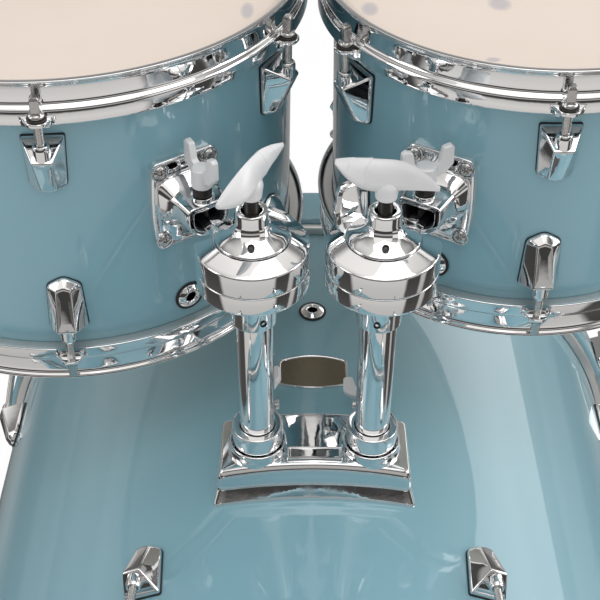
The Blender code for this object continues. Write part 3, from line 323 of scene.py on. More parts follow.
# Colours of the finishes; a pair is mixed by a pattern
look = {"lacquer": ((0.172, 0.340, 0.400), (0.200, 0.374, 0.432)), "chrome": (0.86, 0.865, 0.875),
        "cast": ((0.64, 0.64, 0.645), (0.75, 0.745, 0.74)),
        # The grey of the reflections painted on the heads
        "film": ((0.63, 0.535, 0.455), (0.71, 0.62, 0.54)), "reflection": (0.40, 0.38, 0.40),
        "aluminium": (0.72, 0.71, 0.70), "rubber": (0.018, 0.018, 0.019),
        "resin": (0.028, 0.028, 0.031), "oxide": (0.055, 0.052, 0.050), "steel": (0.60, 0.59, 0.58),
        "bronze": ((0.165, 0.140, 0.102), (0.320, 0.275, 0.200))}

# Grey reflections painted on the heads, in plan: middle, half width, half length
paintedFilmReflections = [((-0.042, -0.157), 0.0045, 0.012), ((0.0315, -0.154), 0.006, 0.010),
             ((0.110, -0.149), 0.008, 0.010), ((0.098, -0.216), 0.005, 0.003)]

# Finishes with nothing but a grain: the material, its roughness and metallic, the grain's scale
# and stretch, and the least roughness with what the grain adds. Aluminium is for the heads' flesh
# hoops, rubber for gaskets and feet, resin for the balls and for the socket linings (dark sheets
# that stand in for the shade inside the sockets' mouths), oxide for threads and small screws,
# steel for the tension rods
plainFinishes = {"aluminium": ("brushed_aluminium", 0.36, 0.9, 300, (1, 1, 6), 0.30, 0.16),
                 "rubber": ("black_rubber", 0.62, 0.0, 1600, (1, 1, 1), 0.5, 0.25),
                 "resin": ("dark_resin", 0.38, 0.0, 700, (1, 1, 1), 0.32, 0.12),
                 "oxide": ("black_oxide_steel", 0.36, 0.85, 900, (1, 1, 1), 0.28, 0.2),
                 "steel": ("bright_steel", 0.22, 1.0, 500, (1, 1, 1), 0.16, 0.16)}


def makeFinishes():
    made = {}
    # Pale blue lacquer on wood: a clear coat over paint with faint long strokes and fine dust
    blue = Finish("pale_blue_lacquer", look["lacquer"][0], 0.34, Coat_Weight=1.0, Coat_Roughness=0.025,
                  IOR=1.5)
    strokes = blue.noise(7, 4, (1, 1, 0.25))
    dust = blue.noise(900, 1)
    blue.set(**{"Base Color": blue.blend(strokes, *look["lacquer"]), "Roughness": 0.30 + 0.10 * dust})
    blue.set(Normal=blue.bump(blue.noise(26, 2), 0.06, 0.002))
    made["wrap"] = blue.made

    # Chrome plate: near mirror, with a breath of haze, finger smears and a faint ripple
    chrome = Finish("chrome_plate", look["chrome"], 0.04, 1.0)
    smear = chrome.noise(45, 5, (1, 1, 1), 0.6)
    chrome.set(Roughness=chrome.ramp(smear, [(0.45, (0.02,) * 3), (0.8, (0.11,) * 3)]))
    chrome.set(Normal=chrome.bump(chrome.noise(120, 2), 0.05, 0.0006))
    made["chrome"] = chrome.made

    # Sand-cast grey metal of the handles and wing bolts, with a fine grain
    cast = Finish("grey_cast_metal", look["cast"][0], 0.42, 0.2)
    grain = cast.noise(1400, 3)
    mottle = cast.noise(60, 3)
    cast.set(**{"Base Color": cast.blend(mottle, *look["cast"]), "Roughness": 0.36 + 0.14 * grain})
    cast.set(Normal=cast.bump(grain, 0.30, 0.0003))
    made["cast"] = cast.made

    # Coated drum film: a thin rough spray on cream plastic, with a few painted grey reflections
    film = Finish("coated_film", look["film"][0], 0.55)
    speckle = film.noise(2600, 2)
    cloud = film.noise(9, 3)
    x, y = film.parts(film.place)[:2]
    # Painted reflections: grey ovals are painted into the cream where reflections show on the heads
    paintedReflections = 0.0
    for at, wide, long in paintedFilmReflections:
        away = ((x - at[0]) * (1 / wide)) ** 2 + ((y - at[1]) * (1 / long)) ** 2
        paintedReflections = film.ramp(away, [(0.25, (0.75,) * 3), (1.0, (0.0,) * 3)]) + paintedReflections
    cream = film.blend(cloud, *look["film"])
    film.set(**{"Base Color": film.blend(paintedReflections, cream, look["reflection"]), "Roughness": 0.46 + 0.2 * speckle})
    film.set(Normal=film.bump(speckle, 0.22, 0.0002))
    made["film"] = film.made

    for key, (name, rough, metallic, scale, stretch, least, more) in plainFinishes.items():
        plain = Finish(name, look[key], rough, metallic)
        grain = plain.noise(scale, 2, stretch)
        plain.set(Roughness=least + more * grain)
        if key == "rubber":   # a fine pitted skin
            plain.set(Normal=plain.bump(grain, 0.25, 0.0003))
        made[key] = plain.made

    # Bronze of the name plate: brushed across, with a darker bloom
    bronze = Finish("bronze_plate", look["bronze"][0], 0.34, 0.9)
    brushed = bronze.noise(240, 3, (1, 14, 1))
    bronze.set(**{"Base Color": bronze.blend(brushed, *look["bronze"]), "Roughness": 0.26 + 0.2 * brushed})
    made["bronze"] = bronze.made
    return made


finish = makeFinishes()
print("finishes made")

# Places of the drums and the holder, from the same sizes as the solids
bass = {"radius": 0.2794, "depth": 0.4064, "wall": 0.007, "facets": 48, "lugs": 8, "lugInset": 0.050,
        "hoopWidth": 0.0385, "hoopThickness": 0.0095, "hoopClearance": 0.0022, "ventInset": 0.110,
        "fleshDrop": 0.007, "segments": 288}
bass["outer"] = bass["radius"] + bass["hoopClearance"] + bass["hoopThickness"]
bass["axisHeight"] = bass["outer"] * cos(pi / bass["facets"])
bass["flat"] = bass["radius"] * cos(pi / bass["facets"])
bass["centreY"] = -(bass["hoopWidth"] / 2 - bass["fleshDrop"] + nudge) - bass["depth"] / 2
bassPlace = shift(0, bass["centreY"], bass["axisHeight"]) @ turn(-pi / 2, "X")

holder = {"setback": 0.2685, "spacing": 0.0737, "ballHeight": 0.1772, "rodReach": 0.0759,
          "lean": radians(0.8), "ball": 0.0155}
shellTop = bass["axisHeight"] + bass["flat"]
holderPlace = shift(0, bass["centreY"] + bass["depth"] / 2 - holder["setback"], shellTop)

sides = {"left": {"side": -1, "azimuth": radians(35.4), "tom": "low_tom", "handleTurn": radians(-126),
                  "boltTurn": radians(-35), "hoodRise": 0.005, "bracketTurn": radians(0)},
         "right": {"side": 1, "azimuth": radians(30.4), "tom": "high_tom", "handleTurn": radians(-13),
                   "boltTurn": radians(-12), "hoodRise": 0.024, "bracketTurn": radians(137)}}
toms = {"low_tom": {"radius": 0.1524, "depth": 0.2032}, "high_tom": {"radius": 0.127, "depth": 0.1778}}
tomShape = {"wall": 0.006, "facets": 24, "lugs": 6, "lugInset": 0.0305, "ventInset": 0.033,
            "lipRise": 0.008, "bracketDrop": 0.1006, "segments": 240}

for sideName, s in sides.items():
    s["pipe"] = holderPlace @ shift(s["side"] * holder["spacing"] / 2, 0, 0)
    s["clamp"] = s["pipe"] @ shift(0, 0, holder["ballHeight"]) @ turn(-s["side"] * s["azimuth"], "Z")
    up = (turn(-s["side"] * holder["lean"], "Y") @ (0, 0, 1, 0))[:3]
    out = np.array([s["side"] * sin(s["azimuth"]), cos(s["azimuth"]), 0])
    out = out - up * out.dot(up)
    out /= np.linalg.norm(out)
    s["ball"] = axes(s["clamp"][:3, 3], out, np.cross(up, out), up)
    tom = toms[s["tom"]]
    tom["socketZ"] = tom["depth"] / 2 + tomShape["lipRise"] - tomShape["bracketDrop"]
    tom["place"] = (s["ball"] @ shift(holder["rodReach"] + tom["radius"], 0, 0) @ turn(pi, "Z")
                    @ shift(0, 0, -tom["socketZ"]))
    tom["flat"] = tom["radius"] * cos(pi / tomShape["facets"])


# Drum parts that all drums share
head = {"film": 0.0004, "collar": 0.0008, "edge": 0.002, "fleshHeight": 0.0064, "fleshReach": 0.0073}


def shellForm(radius, wall, depth, count):
    # The wood ring: rounded outer edge, bevelled bearing edge; long runs are split for the holes
    half, edge = depth / 2, head["edge"]
    inner, bevel = radius - wall, min(0.004, wall - head["edge"])
    outside = [(radius, z) for z in np.linspace(half - 0.004, 0.004 - half, 30)]
    profile = outside + [(radius - 0.0004, edge * 0.4 - half), (radius - edge, -half), (inner, bevel - half),
                         (inner, half - bevel), (radius - edge, half), (radius - 0.0004, half - edge * 0.4)]
    return turned(profile, 0.0005, count, closed=True, steps=2)


def headForms(radius, edge, flesh):
    # Film over the bearing edge, and a collar down to the metal flesh hoop; z = 0 is the shell's middle
    crest, inner = radius - head["edge"], radius + nudge
    outer, top = inner + head["collar"], edge + nudge + head["film"]
    low = edge - flesh
    film = turned([(0.004, top), (crest, top), (outer, edge - head["edge"]), (outer, low),
                   (inner, low), (inner, edge - head["edge"]), (crest, edge + nudge), (0.004, edge + nudge)],
                  [0, 0.002, 0.002, 0.0002, 0.0002, 0.0015, 0.0015, 0], 256, steps=5)
    rim, foot = radius + head["fleshReach"], low - head["fleshHeight"]
    hoop = turned([(rim, low), (rim, foot), (inner, foot), (inner, low)], [0.0016, 0.0016, 0.0004, 0.0004],
                  256, closed=True)
    return film, hoop


lug = {"length": 0.040, "width": 0.0245, "height": 0.019, "skirt": 0.003, "rodHeight": 0.0133,
       "rod": 0.0027, "inLug": 0.008}


def lugForms(slope):
    # A faceted wedge: a five-sided foot drawn up to a narrower roof that falls to the tail.
    # Y points to the hoop, Z away from the shell. Returns the body, its gasket and the swivel nut.
    half, length, height = lug["width"] / 2, lug["length"], lug["height"]
    tail, shoulder, ridge, roof = half * 0.86, -length * 0.85, half * 0.46, -0.2 * length
    foot = [(half, 0), (-half, 0), (-tail, shoulder), (0, -length), (tail, shoulder)]
    top = [(ridge, roof, height), (-ridge, roof, height), (-ridge * 0.74, shoulder, height * 0.42),
           (0, shoulder - 0.001, height * 0.40), (ridge * 0.74, shoulder, height * 0.42)]
    corners = [0.0016, 0.0016, 0.003, 0.004, 0.003]
    low = np.column_stack([foot, np.full(5, 0.0006)])
    rows = [eased(low, corners), eased(low + (0, 0, lug["skirt"] - 0.0006), corners),
            eased(np.array(top), [0.0009, 0.0009, 0.0012, 0.0012, 0.0012])]
    middle = np.mean(top, 0) + (0, 0.004, 0.0)
    rows.append(rows[-1] * 0.55 + middle * 0.45)
    body = skinned(eased(rows, [0, 0.0012, 0.0016, 0], 5, closed=False))
    gasket = lifted(eased(np.array(foot) * (1.035, 1.022) + (0, 0.0005), [0.002, 0.002, 0.003, 0.004, 0.003]),
                    [-0.0012, 0.0012, 0.0012], [0, 0, 0.001], [0, 0.0005, 0])
    line = shift(0, 0, lug["rodHeight"]) @ turn(slope, "X") @ turn(-pi / 2, "X")
    nut = turned([(0.0050, -0.010), (0.0050, -0.0006), (0.0043, 0.0016), (0.0030, 0.0016), (0.0030, -0.006)],
                 [0, 0.0006, 0.0005, 0.0003, 0], 24).at(line)
    return body, gasket, nut, line


rod = {"pitch": 0.0009, "head": 0.0030, "headHeight": 0.0105, "collar": 0.0046, "collarHeight": 0.0024}


def threaded(radius, low, high, pitch, depth=0.00035, count=14):
    # r(angle, z) = radius - depth * (1 - triangle wave of z / pitch - angle / turn), a helix
    z = np.arange(low, high, pitch / 4)
    angles = np.arange(count) * 2 * pi / count
    wave = np.abs(((z[:, None] / pitch - angles[None] / (2 * pi)) % 1.0) * 2 - 1)
    r = radius - depth * (1 - wave)
    return skinned(np.stack([r * np.cos(angles), r * np.sin(angles),
                             np.broadcast_to(z[:, None], r.shape)], 2))


def rodForms(foot, bearing, threadFrom):
    # A tension rod along Z: plain in the lug, threaded above it, then collar and square head
    shank = rounds(lug["rod"], foot, bearing, count=14)
    thread = threaded(lug["rod"] + 0.0001, threadFrom, bearing - 0.004, rod["pitch"])
    wide, crown = rod["collar"], bearing + rod["collarHeight"]
    collar = turned([(0.002, bearing), (wide, bearing), (wide, (bearing + crown) / 2),
                     (wide - 0.001, crown), (0.002, crown)], [0, 0.0004, 0.0006, 0.0005, 0], 28)
    square = polygon(rod["head"] * 1.3, 4, 0.0009, pi / 4)
    top = crown + rod["headHeight"]
    key = lifted(square, [bearing + 0.0022, bearing + 0.0032, top - 0.0012, top],
                 [-0.0006, 0, 0.0001, 0.0009], [0, 0.0006, 0.0008, 0], 3)
    return [shank, thread, collar, key]


def washer(at, radius=0.0056):
    return rounds(radius, at, at + 0.0012, 0.0004, 28, hole=lug["rod"] + 0.0002)


ventShape = {"barrel": 0.0056, "bore": 0.0034, "flange": 0.0088, "rise": 0.0036, "gasket": 0.0104}


def ventForms(wall):
    # Domed eyelet through the wall, on a flat black gasket
    f, b, r = ventShape["flange"], ventShape["bore"], ventShape["rise"]
    eyelet = turned([(b, r - 0.0014), (b + 0.0012, r), (f * 0.66, r - 0.0002), (f, 0.0014), (f, 0.0006),
                     (ventShape["barrel"], 0.0006), (ventShape["barrel"], -wall - 0.001), (b, -wall - 0.001)],
                    [0.0008, 0.0006, 0.0016, 0.0004, 0.0002, 0.0002, 0.0003, 0.0003], 64, closed=True)
    gasket = rounds(ventShape["gasket"], 0.0, 0.0012, 0.0004, 64, hole=ventShape["barrel"] + 0.0002)
    return eyelet, gasket


# What the claws are cut to: the hook over the hoop, and where the rod passes through it
claw = {"rodHeight": 0.0205, "width": 0.018, "front": 0.0055, "crest": 0.0062, "tail": 0.72}


def makeBassDrum():
    half, radius, near = bass["depth"] / 2, bass["radius"], bass["depth"] / 2 - bass["fleshDrop"] + nudge
    far = near + bass["hoopWidth"]
    topLine = half - holder["setback"]
    pipeHole = rounds(0.0135, -0.03, 0.03)
    upright = turn(pi / 2, "X")
    holes = [pipeHole.at(bassPlace @ shift(s * holder["spacing"] / 2, -radius, topLine) @ upright)
             for s in (-1, 1)]
    atVent = bassPlace @ seat(radius, -pi / 2, half - bass["ventInset"])
    holes.append(rounds(ventShape["barrel"] + nudge, -0.02, 0.01, count=48).at(atVent))
    piece("bass_wood_shell", shellForm(radius, bass["wall"], bass["depth"], bass["segments"]).at(bassPlace),
          "wrap", "bass_drum", ["bass_shell"], cutters=holes)
    eyelet, gasket = ventForms(bass["wall"])
    piece("bass_vent_eyelet", eyelet.at(atVent), "chrome", "bass_drum", ["bass_vent"])
    piece("bass_vent_gasket", gasket.at(atVent), "rubber", "bass_drum")

    face = bass["lugInset"] - bass["fleshDrop"] + nudge + bass["hoopWidth"]
    slope = asin((claw["rodHeight"] - lug["rodHeight"]) / face)
    body, lugGasket, nut, line = lugForms(slope)
    bearing = (face + claw["front"]) / cos(slope) - 0.001
    rods = gathered(rodForms(-lug["inLug"], bearing, 0.001)).at(line)
    onHoop = bass["outer"] - radius
    crest, inner = claw["rodHeight"] + claw["crest"], face - bass["hoopWidth"] * claw["tail"]
    front = face + claw["front"]
    hook = onHoop - bass["hoopThickness"] * 0.8
    outline = eased([(face + nudge, hook), (face + nudge, onHoop + nudge), (inner, onHoop + nudge),
                     (inner, onHoop + 0.003), (face - 0.013, crest), (front, crest), (front + 0.0006, hook)],
                    [0.0006, 0.001, 0.0006, 0.0012, 0.006, 0.0035, 0.002], 6)
    across = axes((0, 0, 0), (0, 1, 0), (0, 0, 1), (1, 0, 0))
    side = claw["width"] / 2
    hookForm = lifted(outline, [-side, -side * 0.7, side * 0.7, side], [0.0022, 0, 0, 0.0022],
                      [0, 0.002, 0.002, 0]).at(across)
    film, flesh = headForms(radius, half, bass["fleshDrop"])
    inside, outside, ease = radius + bass["hoopClearance"], bass["outer"], 0.003
    hoop = turned([(outside, near), (outside, far), (inside, far), (inside, near)],
                  [ease, ease, 0.0012, 0.0012], bass["segments"], closed=True, steps=6)
    for name, up in (("batter", 1), ("front", -1)):
        flip = np.eye(4) if up > 0 else turn(pi, "X")
        piece("bass_%s_film" % name, film.at(bassPlace @ flip), "film", "bass_drum",
              ["bass_%s_head" % name])
        piece("bass_%s_flesh_hoop" % name, flesh.at(bassPlace @ flip), "aluminium", "bass_drum")
        piece("bass_%s_wood_hoop" % name, hoop.at(bassPlace @ flip), "wrap", "bass_drum",
              ["bass_%s_hoop" % name])
        spots = [bassPlace @ seat(radius, a, up * (half - bass["lugInset"]), up)
                 for a in around(bass["lugs"])]
        piece("bass_%s_lugs" % name, [body.at(*spots), nut.at(*spots)], "chrome", "bass_drum",
              angle=24)
        piece("bass_%s_lug_gaskets" % name, lugGasket.at(*spots), "rubber", "bass_drum")
        piece("bass_%s_rods" % name, rods.at(*spots), "steel", "bass_drum")
        piece("bass_%s_claws" % name, hookForm.at(*spots), "chrome", "bass_drum", angle=24)


makeBassDrum()
print("bass drum made")


hoopShape = {"wall": 0.0049, "steel": 0.0017, "lip": 0.0095, "skirt": 0.0099,
             "skirtDrop": 0.0185, "step": 0.0093, "earDrop": 0.0125, "earSteel": 0.0024, "earWidth": 0.016,
             "earNose": 0.0066}


def tomHoop(radius):
    # Pressed steel section, turned: outward lip, wall, step on the flesh hoop, skirt
    h = hoopShape
    wall, skirt = radius + h["wall"], radius + h["skirt"]
    profile = [(radius + h["lip"], 0.008), (radius + h["lip"] - 0.0006, 0.0062), (wall + h["steel"], 0.0044),
               (wall + h["steel"], -0.0072), (skirt, -h["step"]), (skirt + 0.0006, -h["skirtDrop"]),
               (skirt + 0.0006 - h["steel"], -h["skirtDrop"]), (skirt - h["steel"] - nudge, -h["step"]),
               (wall, -h["step"]), (wall, 0.0064), (wall + 0.0010, 0.008)]
    radii = [0.0008, 0.0008, 0.0026, 0.0016, 0.0018, 0.0008, 0.0006, 0.0008, 0.0006, 0.0014, 0.0008]
    return turned(profile, radii, tomShape["segments"], closed=True)


def tomEar(radius, rodRadius):
    # A flat tab pressed out of the skirt round each rod, with a gusset where it leaves the skirt
    h = hoopShape
    root, half, nose = radius + h["skirt"] - 0.001, h["earWidth"] / 2, rodRadius + h["earNose"]
    outline = eased([(root, -half * 1.45), (rodRadius - 0.002, -half), (nose, -half * 0.62),
                     (nose, half * 0.62), (rodRadius - 0.002, half), (root, half * 1.45)],
                    [0.0003, 0.004, 0.004, 0.004, 0.004, 0.0003], 6)
    tab = slab(outline, -h["earDrop"] - h["earSteel"], -h["earDrop"], 0.0006)
    sole = h["skirtDrop"]
    web = eased([(root, -half * 1.3), (root + 0.0048, -half * 0.8), (root + 0.0048, half * 0.8),
                 (root, half * 1.3)], [0.0003, 0.003, 0.003, 0.0003], 6)
    gusset = lifted(web, [-sole, -sole + 0.001, -h["earDrop"] - 0.0008], [0.001, 0.0002, 0],
                    [0, 0.0008, 0])
    return [tab, gusset]


def makeTom(name):
    tom, place = toms[name], toms[name]["place"]
    radius, half, inset = tom["radius"], tom["depth"] / 2, tomShape["lugInset"]
    seatRadius = radius - 0.0004
    rodRadius = seatRadius + lug["rodHeight"]
    atVent = place @ seat(radius, 0, tomShape["ventInset"] - half)
    hole = rounds(ventShape["barrel"] + nudge, -0.02, 0.01, count=48).at(atVent)
    wood = shellForm(radius, tomShape["wall"], tom["depth"], tomShape["segments"])
    piece(name + "_wood_shell", wood.at(place), "wrap", name, [name + "_shell"], cutters=[hole])
    eyelet, gasket = ventForms(tomShape["wall"])
    piece(name + "_vent_eyelet", eyelet.at(atVent), "chrome", name, [name + "_vent"])
    piece(name + "_vent_gasket", gasket.at(atVent), "rubber", name)

    body, lugGasket, nut = lugForms(0)[:3]
    spots = [place @ seat(seatRadius, a, up * (half - inset), up)
             for a in around(tomShape["lugs"]) for up in (1, -1)]
    piece(name + "_lugs", [body.at(*spots), nut.at(*spots)], "chrome", name, angle=24)
    piece(name + "_lug_gaskets", lugGasket.at(*spots), "rubber", name)

    bearing = -hoopShape["earDrop"] + 0.0013
    rods = gathered(rodForms(-inset - lug["inLug"], bearing, -inset + 0.001)).at(shift(rodRadius, 0, 0))
    washers = washer(-hoopShape["earDrop"]).at(shift(rodRadius, 0, 0))
    turns = [turn(a, "Z") for a in around(tomShape["lugs"])]
    for end, toEnd in (("batter", shift(0, 0, half)), ("bottom", turn(pi, "X") @ shift(0, 0, half))):
        spots = [place @ toEnd @ t for t in turns]
        film, flesh = headForms(radius, 0.0, hoopShape["step"] + nudge)
        piece("%s_%s_film" % (name, end), film.at(place @ toEnd), "film", name,
              ["%s_%s_head" % (name, end)])
        piece("%s_%s_flesh_hoop" % (name, end), flesh.at(place @ toEnd), "aluminium", name)
        ring = [tomHoop(radius).at(place @ toEnd)]
        ring += [part.at(*spots) for part in tomEar(radius, rodRadius)]
        piece("%s_%s_steel_hoop" % (name, end), ring, "chrome", name,
              ["%s_%s_hoop" % (name, end)])
        piece("%s_%s_rods" % (name, end), rods.at(*spots), "steel", name)
        piece("%s_%s_washers" % (name, end), washers.at(*spots), "oxide", name)


for tomName in toms:
    makeTom(tomName)
print("toms made")


base = {"width": 0.132, "topWidth": 0.122, "front": -0.027, "back": 0.030, "ridge": -0.0180, "topBack": 0.026,
        "height": 0.027, "shoulderDrop": 0.008, "seat": 0.0195, "seatTop": 0.0308, "boltHeight": 0.018,
        "boss": 0.009, "bossBack": 0.038, "plaqueWidth": 0.036, "plaqueDepth": 0.0106, "plaqueRise": 0.0018,
        "corner": 0.0032, "lip": 0.0170, "bore": 0.0117, "boltBore": 0.0044,
        # Share of the height, and of the way from the top outline out to the foot
        "apron": [(0.0, 1.0), (0.05, 1.0), (0.10, 0.96), (0.46, 0.42), (0.64, 0.37), (0.82, 0.32),
                  (0.94, 0.15), (1.0, 0.0)]}


def makeBase():
    # Outlines stacked from the drum's skin to the saddle-shaped top; each point's height runs
    # from skin(x) = sqrt(R^2 - x^2) - R up to top(x) = height - drop * (x / half width)^2
    radius, b = bass["flat"], base
    rows = []
    for level, spread in b["apron"]:
        w = (b["topWidth"] + (b["width"] - b["topWidth"]) * spread) / 2
        front = b["ridge"] + (b["front"] - b["ridge"]) * spread
        back = b["topBack"] + (b["back"] - b["topBack"]) * spread
        t = np.linspace(-1, 1, 19)
        straight = [(w * u, front) for u in t] + [(w * u, back) for u in -t]
        corners = [b["corner"]] + [0.0001] * 17 + [b["corner"]]
        flat = eased(straight, corners * 2, 3)
        x = flat[:, 0]
        low = np.sqrt(radius ** 2 - x ** 2) - radius + nudge
        high = b["height"] - b["shoulderDrop"] * (x / (b["topWidth"] / 2)) ** 2
        rows.append(np.column_stack([flat, low + (high - low) * level]))
    # The saddle top is drawn in to its middle line, so that it stays curved
    edge, middle = rows[-1], np.array([0, (b["ridge"] + b["topBack"]) / 2])
    half = np.array([b["topWidth"], b["topBack"] - b["ridge"]]) / 2
    for inset in (0.0045, 0.009, 0.016, 0.0235):
        flat = middle + (edge[:, :2] - middle) * (1 - inset / half)
        rows.append(np.column_stack([flat, b["height"] - b["shoulderDrop"] * (flat[:, 0] / half[0]) ** 2]))
    ease = [0, 0.0006, 0.001, 0.002, 0.001, 0.002, 0.002, 0.0016, 0.0002, 0.0002, 0.0002, 0]
    forms = [skinned(eased(rows, ease, 4, closed=False))]
    half = holder["spacing"] / 2
    outer, foot, step = b["seat"], 0.0150, b["seatTop"] - 0.0036
    rim = turned([(outer + 0.0002, foot), (outer - 0.0002, 0.0250), (outer - 0.0008, 0.0275),
                  (outer - 0.0012, b["seatTop"]), (b["lip"], b["seatTop"]), (b["lip"], step),
                  (b["bore"], step), (b["bore"], foot)],
                 [0.0005, 0.001, 0.001, 0.0008, 0.0006, 0.0004, 0.0003, 0.0003], 96, closed=True)
    forms.append(rim.at(shift(-half, 0, 0), shift(half, 0, 0)))
    boss = turned([(b["boltBore"], 0.010), (b["boss"] + 0.002, 0.010), (b["boss"] + 0.0006, 0.024),
                   (b["boss"], b["bossBack"]), (b["boltBore"], b["bossBack"])],
                  [0.0003, 0.0008, 0.002, 0.0012, 0.0005], 64, closed=True)
    forms.append(boss.at(*[shift(s * half, 0, b["boltHeight"]) @ turn(-pi / 2, "X") for s in (-1, 1)]))
    top = b["height"] + b["plaqueRise"]
    plate = lifted(rectangle(b["plaqueWidth"], b["plaqueDepth"], 0.0016),
                   [b["height"] - 0.003, top, top, top - 0.0006, top - 0.0006],
                   [0, 0, 0.0009, 0.0012, 0.003], [0, 0.0004, 0.0002, 0.0002, 0], 3)
    forms.append(plate.at(shift(0, b["ridge"] + b["plaqueDepth"] / 2 + 0.002, 0)))
    piece("holder_base_plate", [f.at(holderPlace) for f in forms], "chrome", "bass_drum",
          ["holder_base"], angle=28)


memory = {"radius": 0.0165, "height": 0.0135, "inner": 0.0116, "low": 0.0311, "slit": 0.0016,
          "earLength": 0.0135, "earNear": 0.0014, "earFar": 0.0064, "bolt": 0.0024, "boltHead": 0.0036}


def makeMemoryClamp(name, place):
    # The split ring: a C section carried round from one side of the slit to the other
    m = memory
    low, high = m["low"], m["low"] + m["height"]
    slit = m["slit"] / m["radius"]
    angles = pi / 2 + np.linspace(slit, 2 * pi - slit, 97)
    section = eased([(m["radius"], low), (m["radius"], high), (m["inner"], high), (m["inner"], low)],
                    [0.0009, 0.0009, 0.0006, 0.0006], 4)
    rows = np.stack([np.stack([np.cos(a) * section[:, 0], np.sin(a) * section[:, 0], section[:, 1]], 1)
                     for a in angles])
    forms = [skinned(rows)]
    ear = lifted(rectangle(m["earLength"], m["height"] * 0.82, 0.003), [m["earNear"]] * 2 + [m["earFar"]] * 2,
                 [0.0008, 0, 0, 0.0008], [0, 0.0005, 0.0005, 0], 3)
    middle = (low + high) / 2
    for s in (-1, 1):
        forms.append(ear.at(axes((0, m["radius"] + 0.0035, middle), (0, 1, 0), (0, 0, 1), (s, 0, 0))))
    body = name + "_memory_clamp"
    piece(name + "_memory_ring", [f.at(place) for f in forms], "chrome", body, [body])
    along = axes((0, m["radius"] + 0.007, middle), (0, 1, 0), (0, 0, 1), (1, 0, 0))
    bolt = [rounds(m["bolt"], -0.012, 0.012, count=24),
            lifted(polygon(m["boltHead"], 4, 0.0008, pi / 4), [m["earFar"]] * 2 + [0.013, 0.0135],
                   [0.0004, 0, 0, 0.0006], [0, 0.0004, 0.0004, 0], 3)]
    piece(name + "_memory_bolt", [b.at(place @ along) for b in bolt], "steel", body)


wing = {"hub": 0.0066, "hubHeight": 0.013, "span": 0.0165, "height": 0.020, "thickness": 0.0042,
        "thread": 0.004, "collar": 0.0058}


def makeWingBolt(name, place, shaft, standoff, body, node):
    # Hub, and two flat wings with cut corners that lean outwards
    hub, w = shaft + standoff, wing
    low = hub + w["hubHeight"] * 0.42
    span, tall = w["span"], w["height"]
    shares = [(0.66, 0.04), (1, 0.34), (0.98, 0.92), (0.86, 1), (0.58, 0.94), (0.44, 0.42)]
    outline = eased([(0.003, low - 0.002)] + [(span * u, low + tall * v) for u, v in shares]
                    + [(0.003, low + tall * 0.36)],
                    [0.0004, 0.0012, 0.0008, 0.0006, 0.0006, 0.0008, 0.0016, 0.0004], 3)
    half = w["thickness"] / 2
    blade = lifted(outline, [-half, -half * 0.8, half * 0.8, half], [0.0008, 0.0001, 0.0001, 0.0008],
                   [0, 0.0005, 0.0005, 0], 3)
    forms = [turned([(0.003, hub), (w["hub"] * 0.94, hub), (w["hub"], hub + 0.002),
                     (w["hub"] * 0.93, hub + w["hubHeight"]), (0.002, hub + w["hubHeight"] + 0.0004)],
                    [0, 0.0008, 0.001, 0.0012, 0], 48)]
    forms += [blade.at(axes((0, 0, 0), (s, 0, 0), (0, 0, 1), (0, -s, 0))) for s in (-1, 1)]
    piece(name, [f.at(place) for f in forms], "cast", body, [node], angle=30)
    screw = [threaded(w["thread"], 0.0, hub + 0.001, 0.00125, 0.0005, 20),
             rounds(w["collar"], shaft + nudge, hub - nudge, 0.0005)]
    if standoff < 0.003:   # no room for a collar
        screw = screw[:1]
    piece(name + "_thread", [f.at(place) for f in screw], "oxide", body)


clamp = {"radius": 0.0328, "cup": 0.013, "well": 0.0170, "collar": 0.0135, "collarFoot": -0.0427,
         "pipeTop": 0.157, "ring": 0.0139, "cone": 0.0043, "bore": 0.019, "flange": 0.0213, "neck": 0.0094,
         "seat": 0.0185, "top": 0.038, "opening": radians(55), "notch": 0.0115,
         "hoodWall": 0.0045, "hoodEnd": radians(92), "hoodReach": 0.0268, "hoodBevel": 0.0024,
         "hoodLean": radians(17), "pipe": 0.0111, "pipeBore": 0.0116, "pipeWall": 0.0015, "pipeFoot": -0.075,
         "thread": 0.0048}


def wedge(low, high):
    # What is cut out of the cup and the ring where the rod leaves them
    far, a = clamp["radius"] * 2, clamp["opening"]
    outline = np.array([(0, 0), (far * sin(a), far * cos(a)), (0, far * 1.5), (-far * sin(a), far * cos(a))])
    return lifted(outline, [low, high], [0, 0], 0)


def hoodForm(side, rise):
    # A flat plate on a chord of the ring beside the rod's opening, leaning outwards, with a wide
    # bevel round its inner face; its top edge falls away from the rod
    c = clamp
    near, far = (c["hoodReach"] * np.array([-side * sin(a), cos(a), 0])
                 for a in (c["opening"] - 0.12, c["hoodEnd"]))
    length, middle = np.linalg.norm(far - near), (near + far) / 2
    inward = -middle / np.linalg.norm(middle)
    across = np.cross((0, 0, 1), inward)
    way = np.sign(across @ (far - near))
    low, high = c["ring"] - 0.003, c["ring"] + rise
    corners = [(-0.5, low), (0.5, low), (0.5, low + 0.45 * (high - low)), (0.22, high - 0.06 * rise),
               (-0.1, high), (-0.5, high - 0.04 * rise)]
    outline = eased([(way * length * u, v) for u, v in corners],
                    [0.0004, 0.0004, 0.002, 0.004, 0.004, 0.0015], 4)
    bevel = min(c["hoodBevel"], 0.2 * rise)
    plate = lifted(outline, [-c["hoodWall"], -c["hoodWall"], -bevel * 0.6, 0, 0],
                   [0.0008, 0, 0, bevel, bevel + 0.002], [0, 0.0004, 0.0003, 0.0004, 0], 3)
    lean = shift(0, low, 0) @ turn(-c["hoodLean"], "X") @ shift(0, -low, 0)
    return plate.at(axes(middle, across, (0, 0, 1), inward) @ lean)


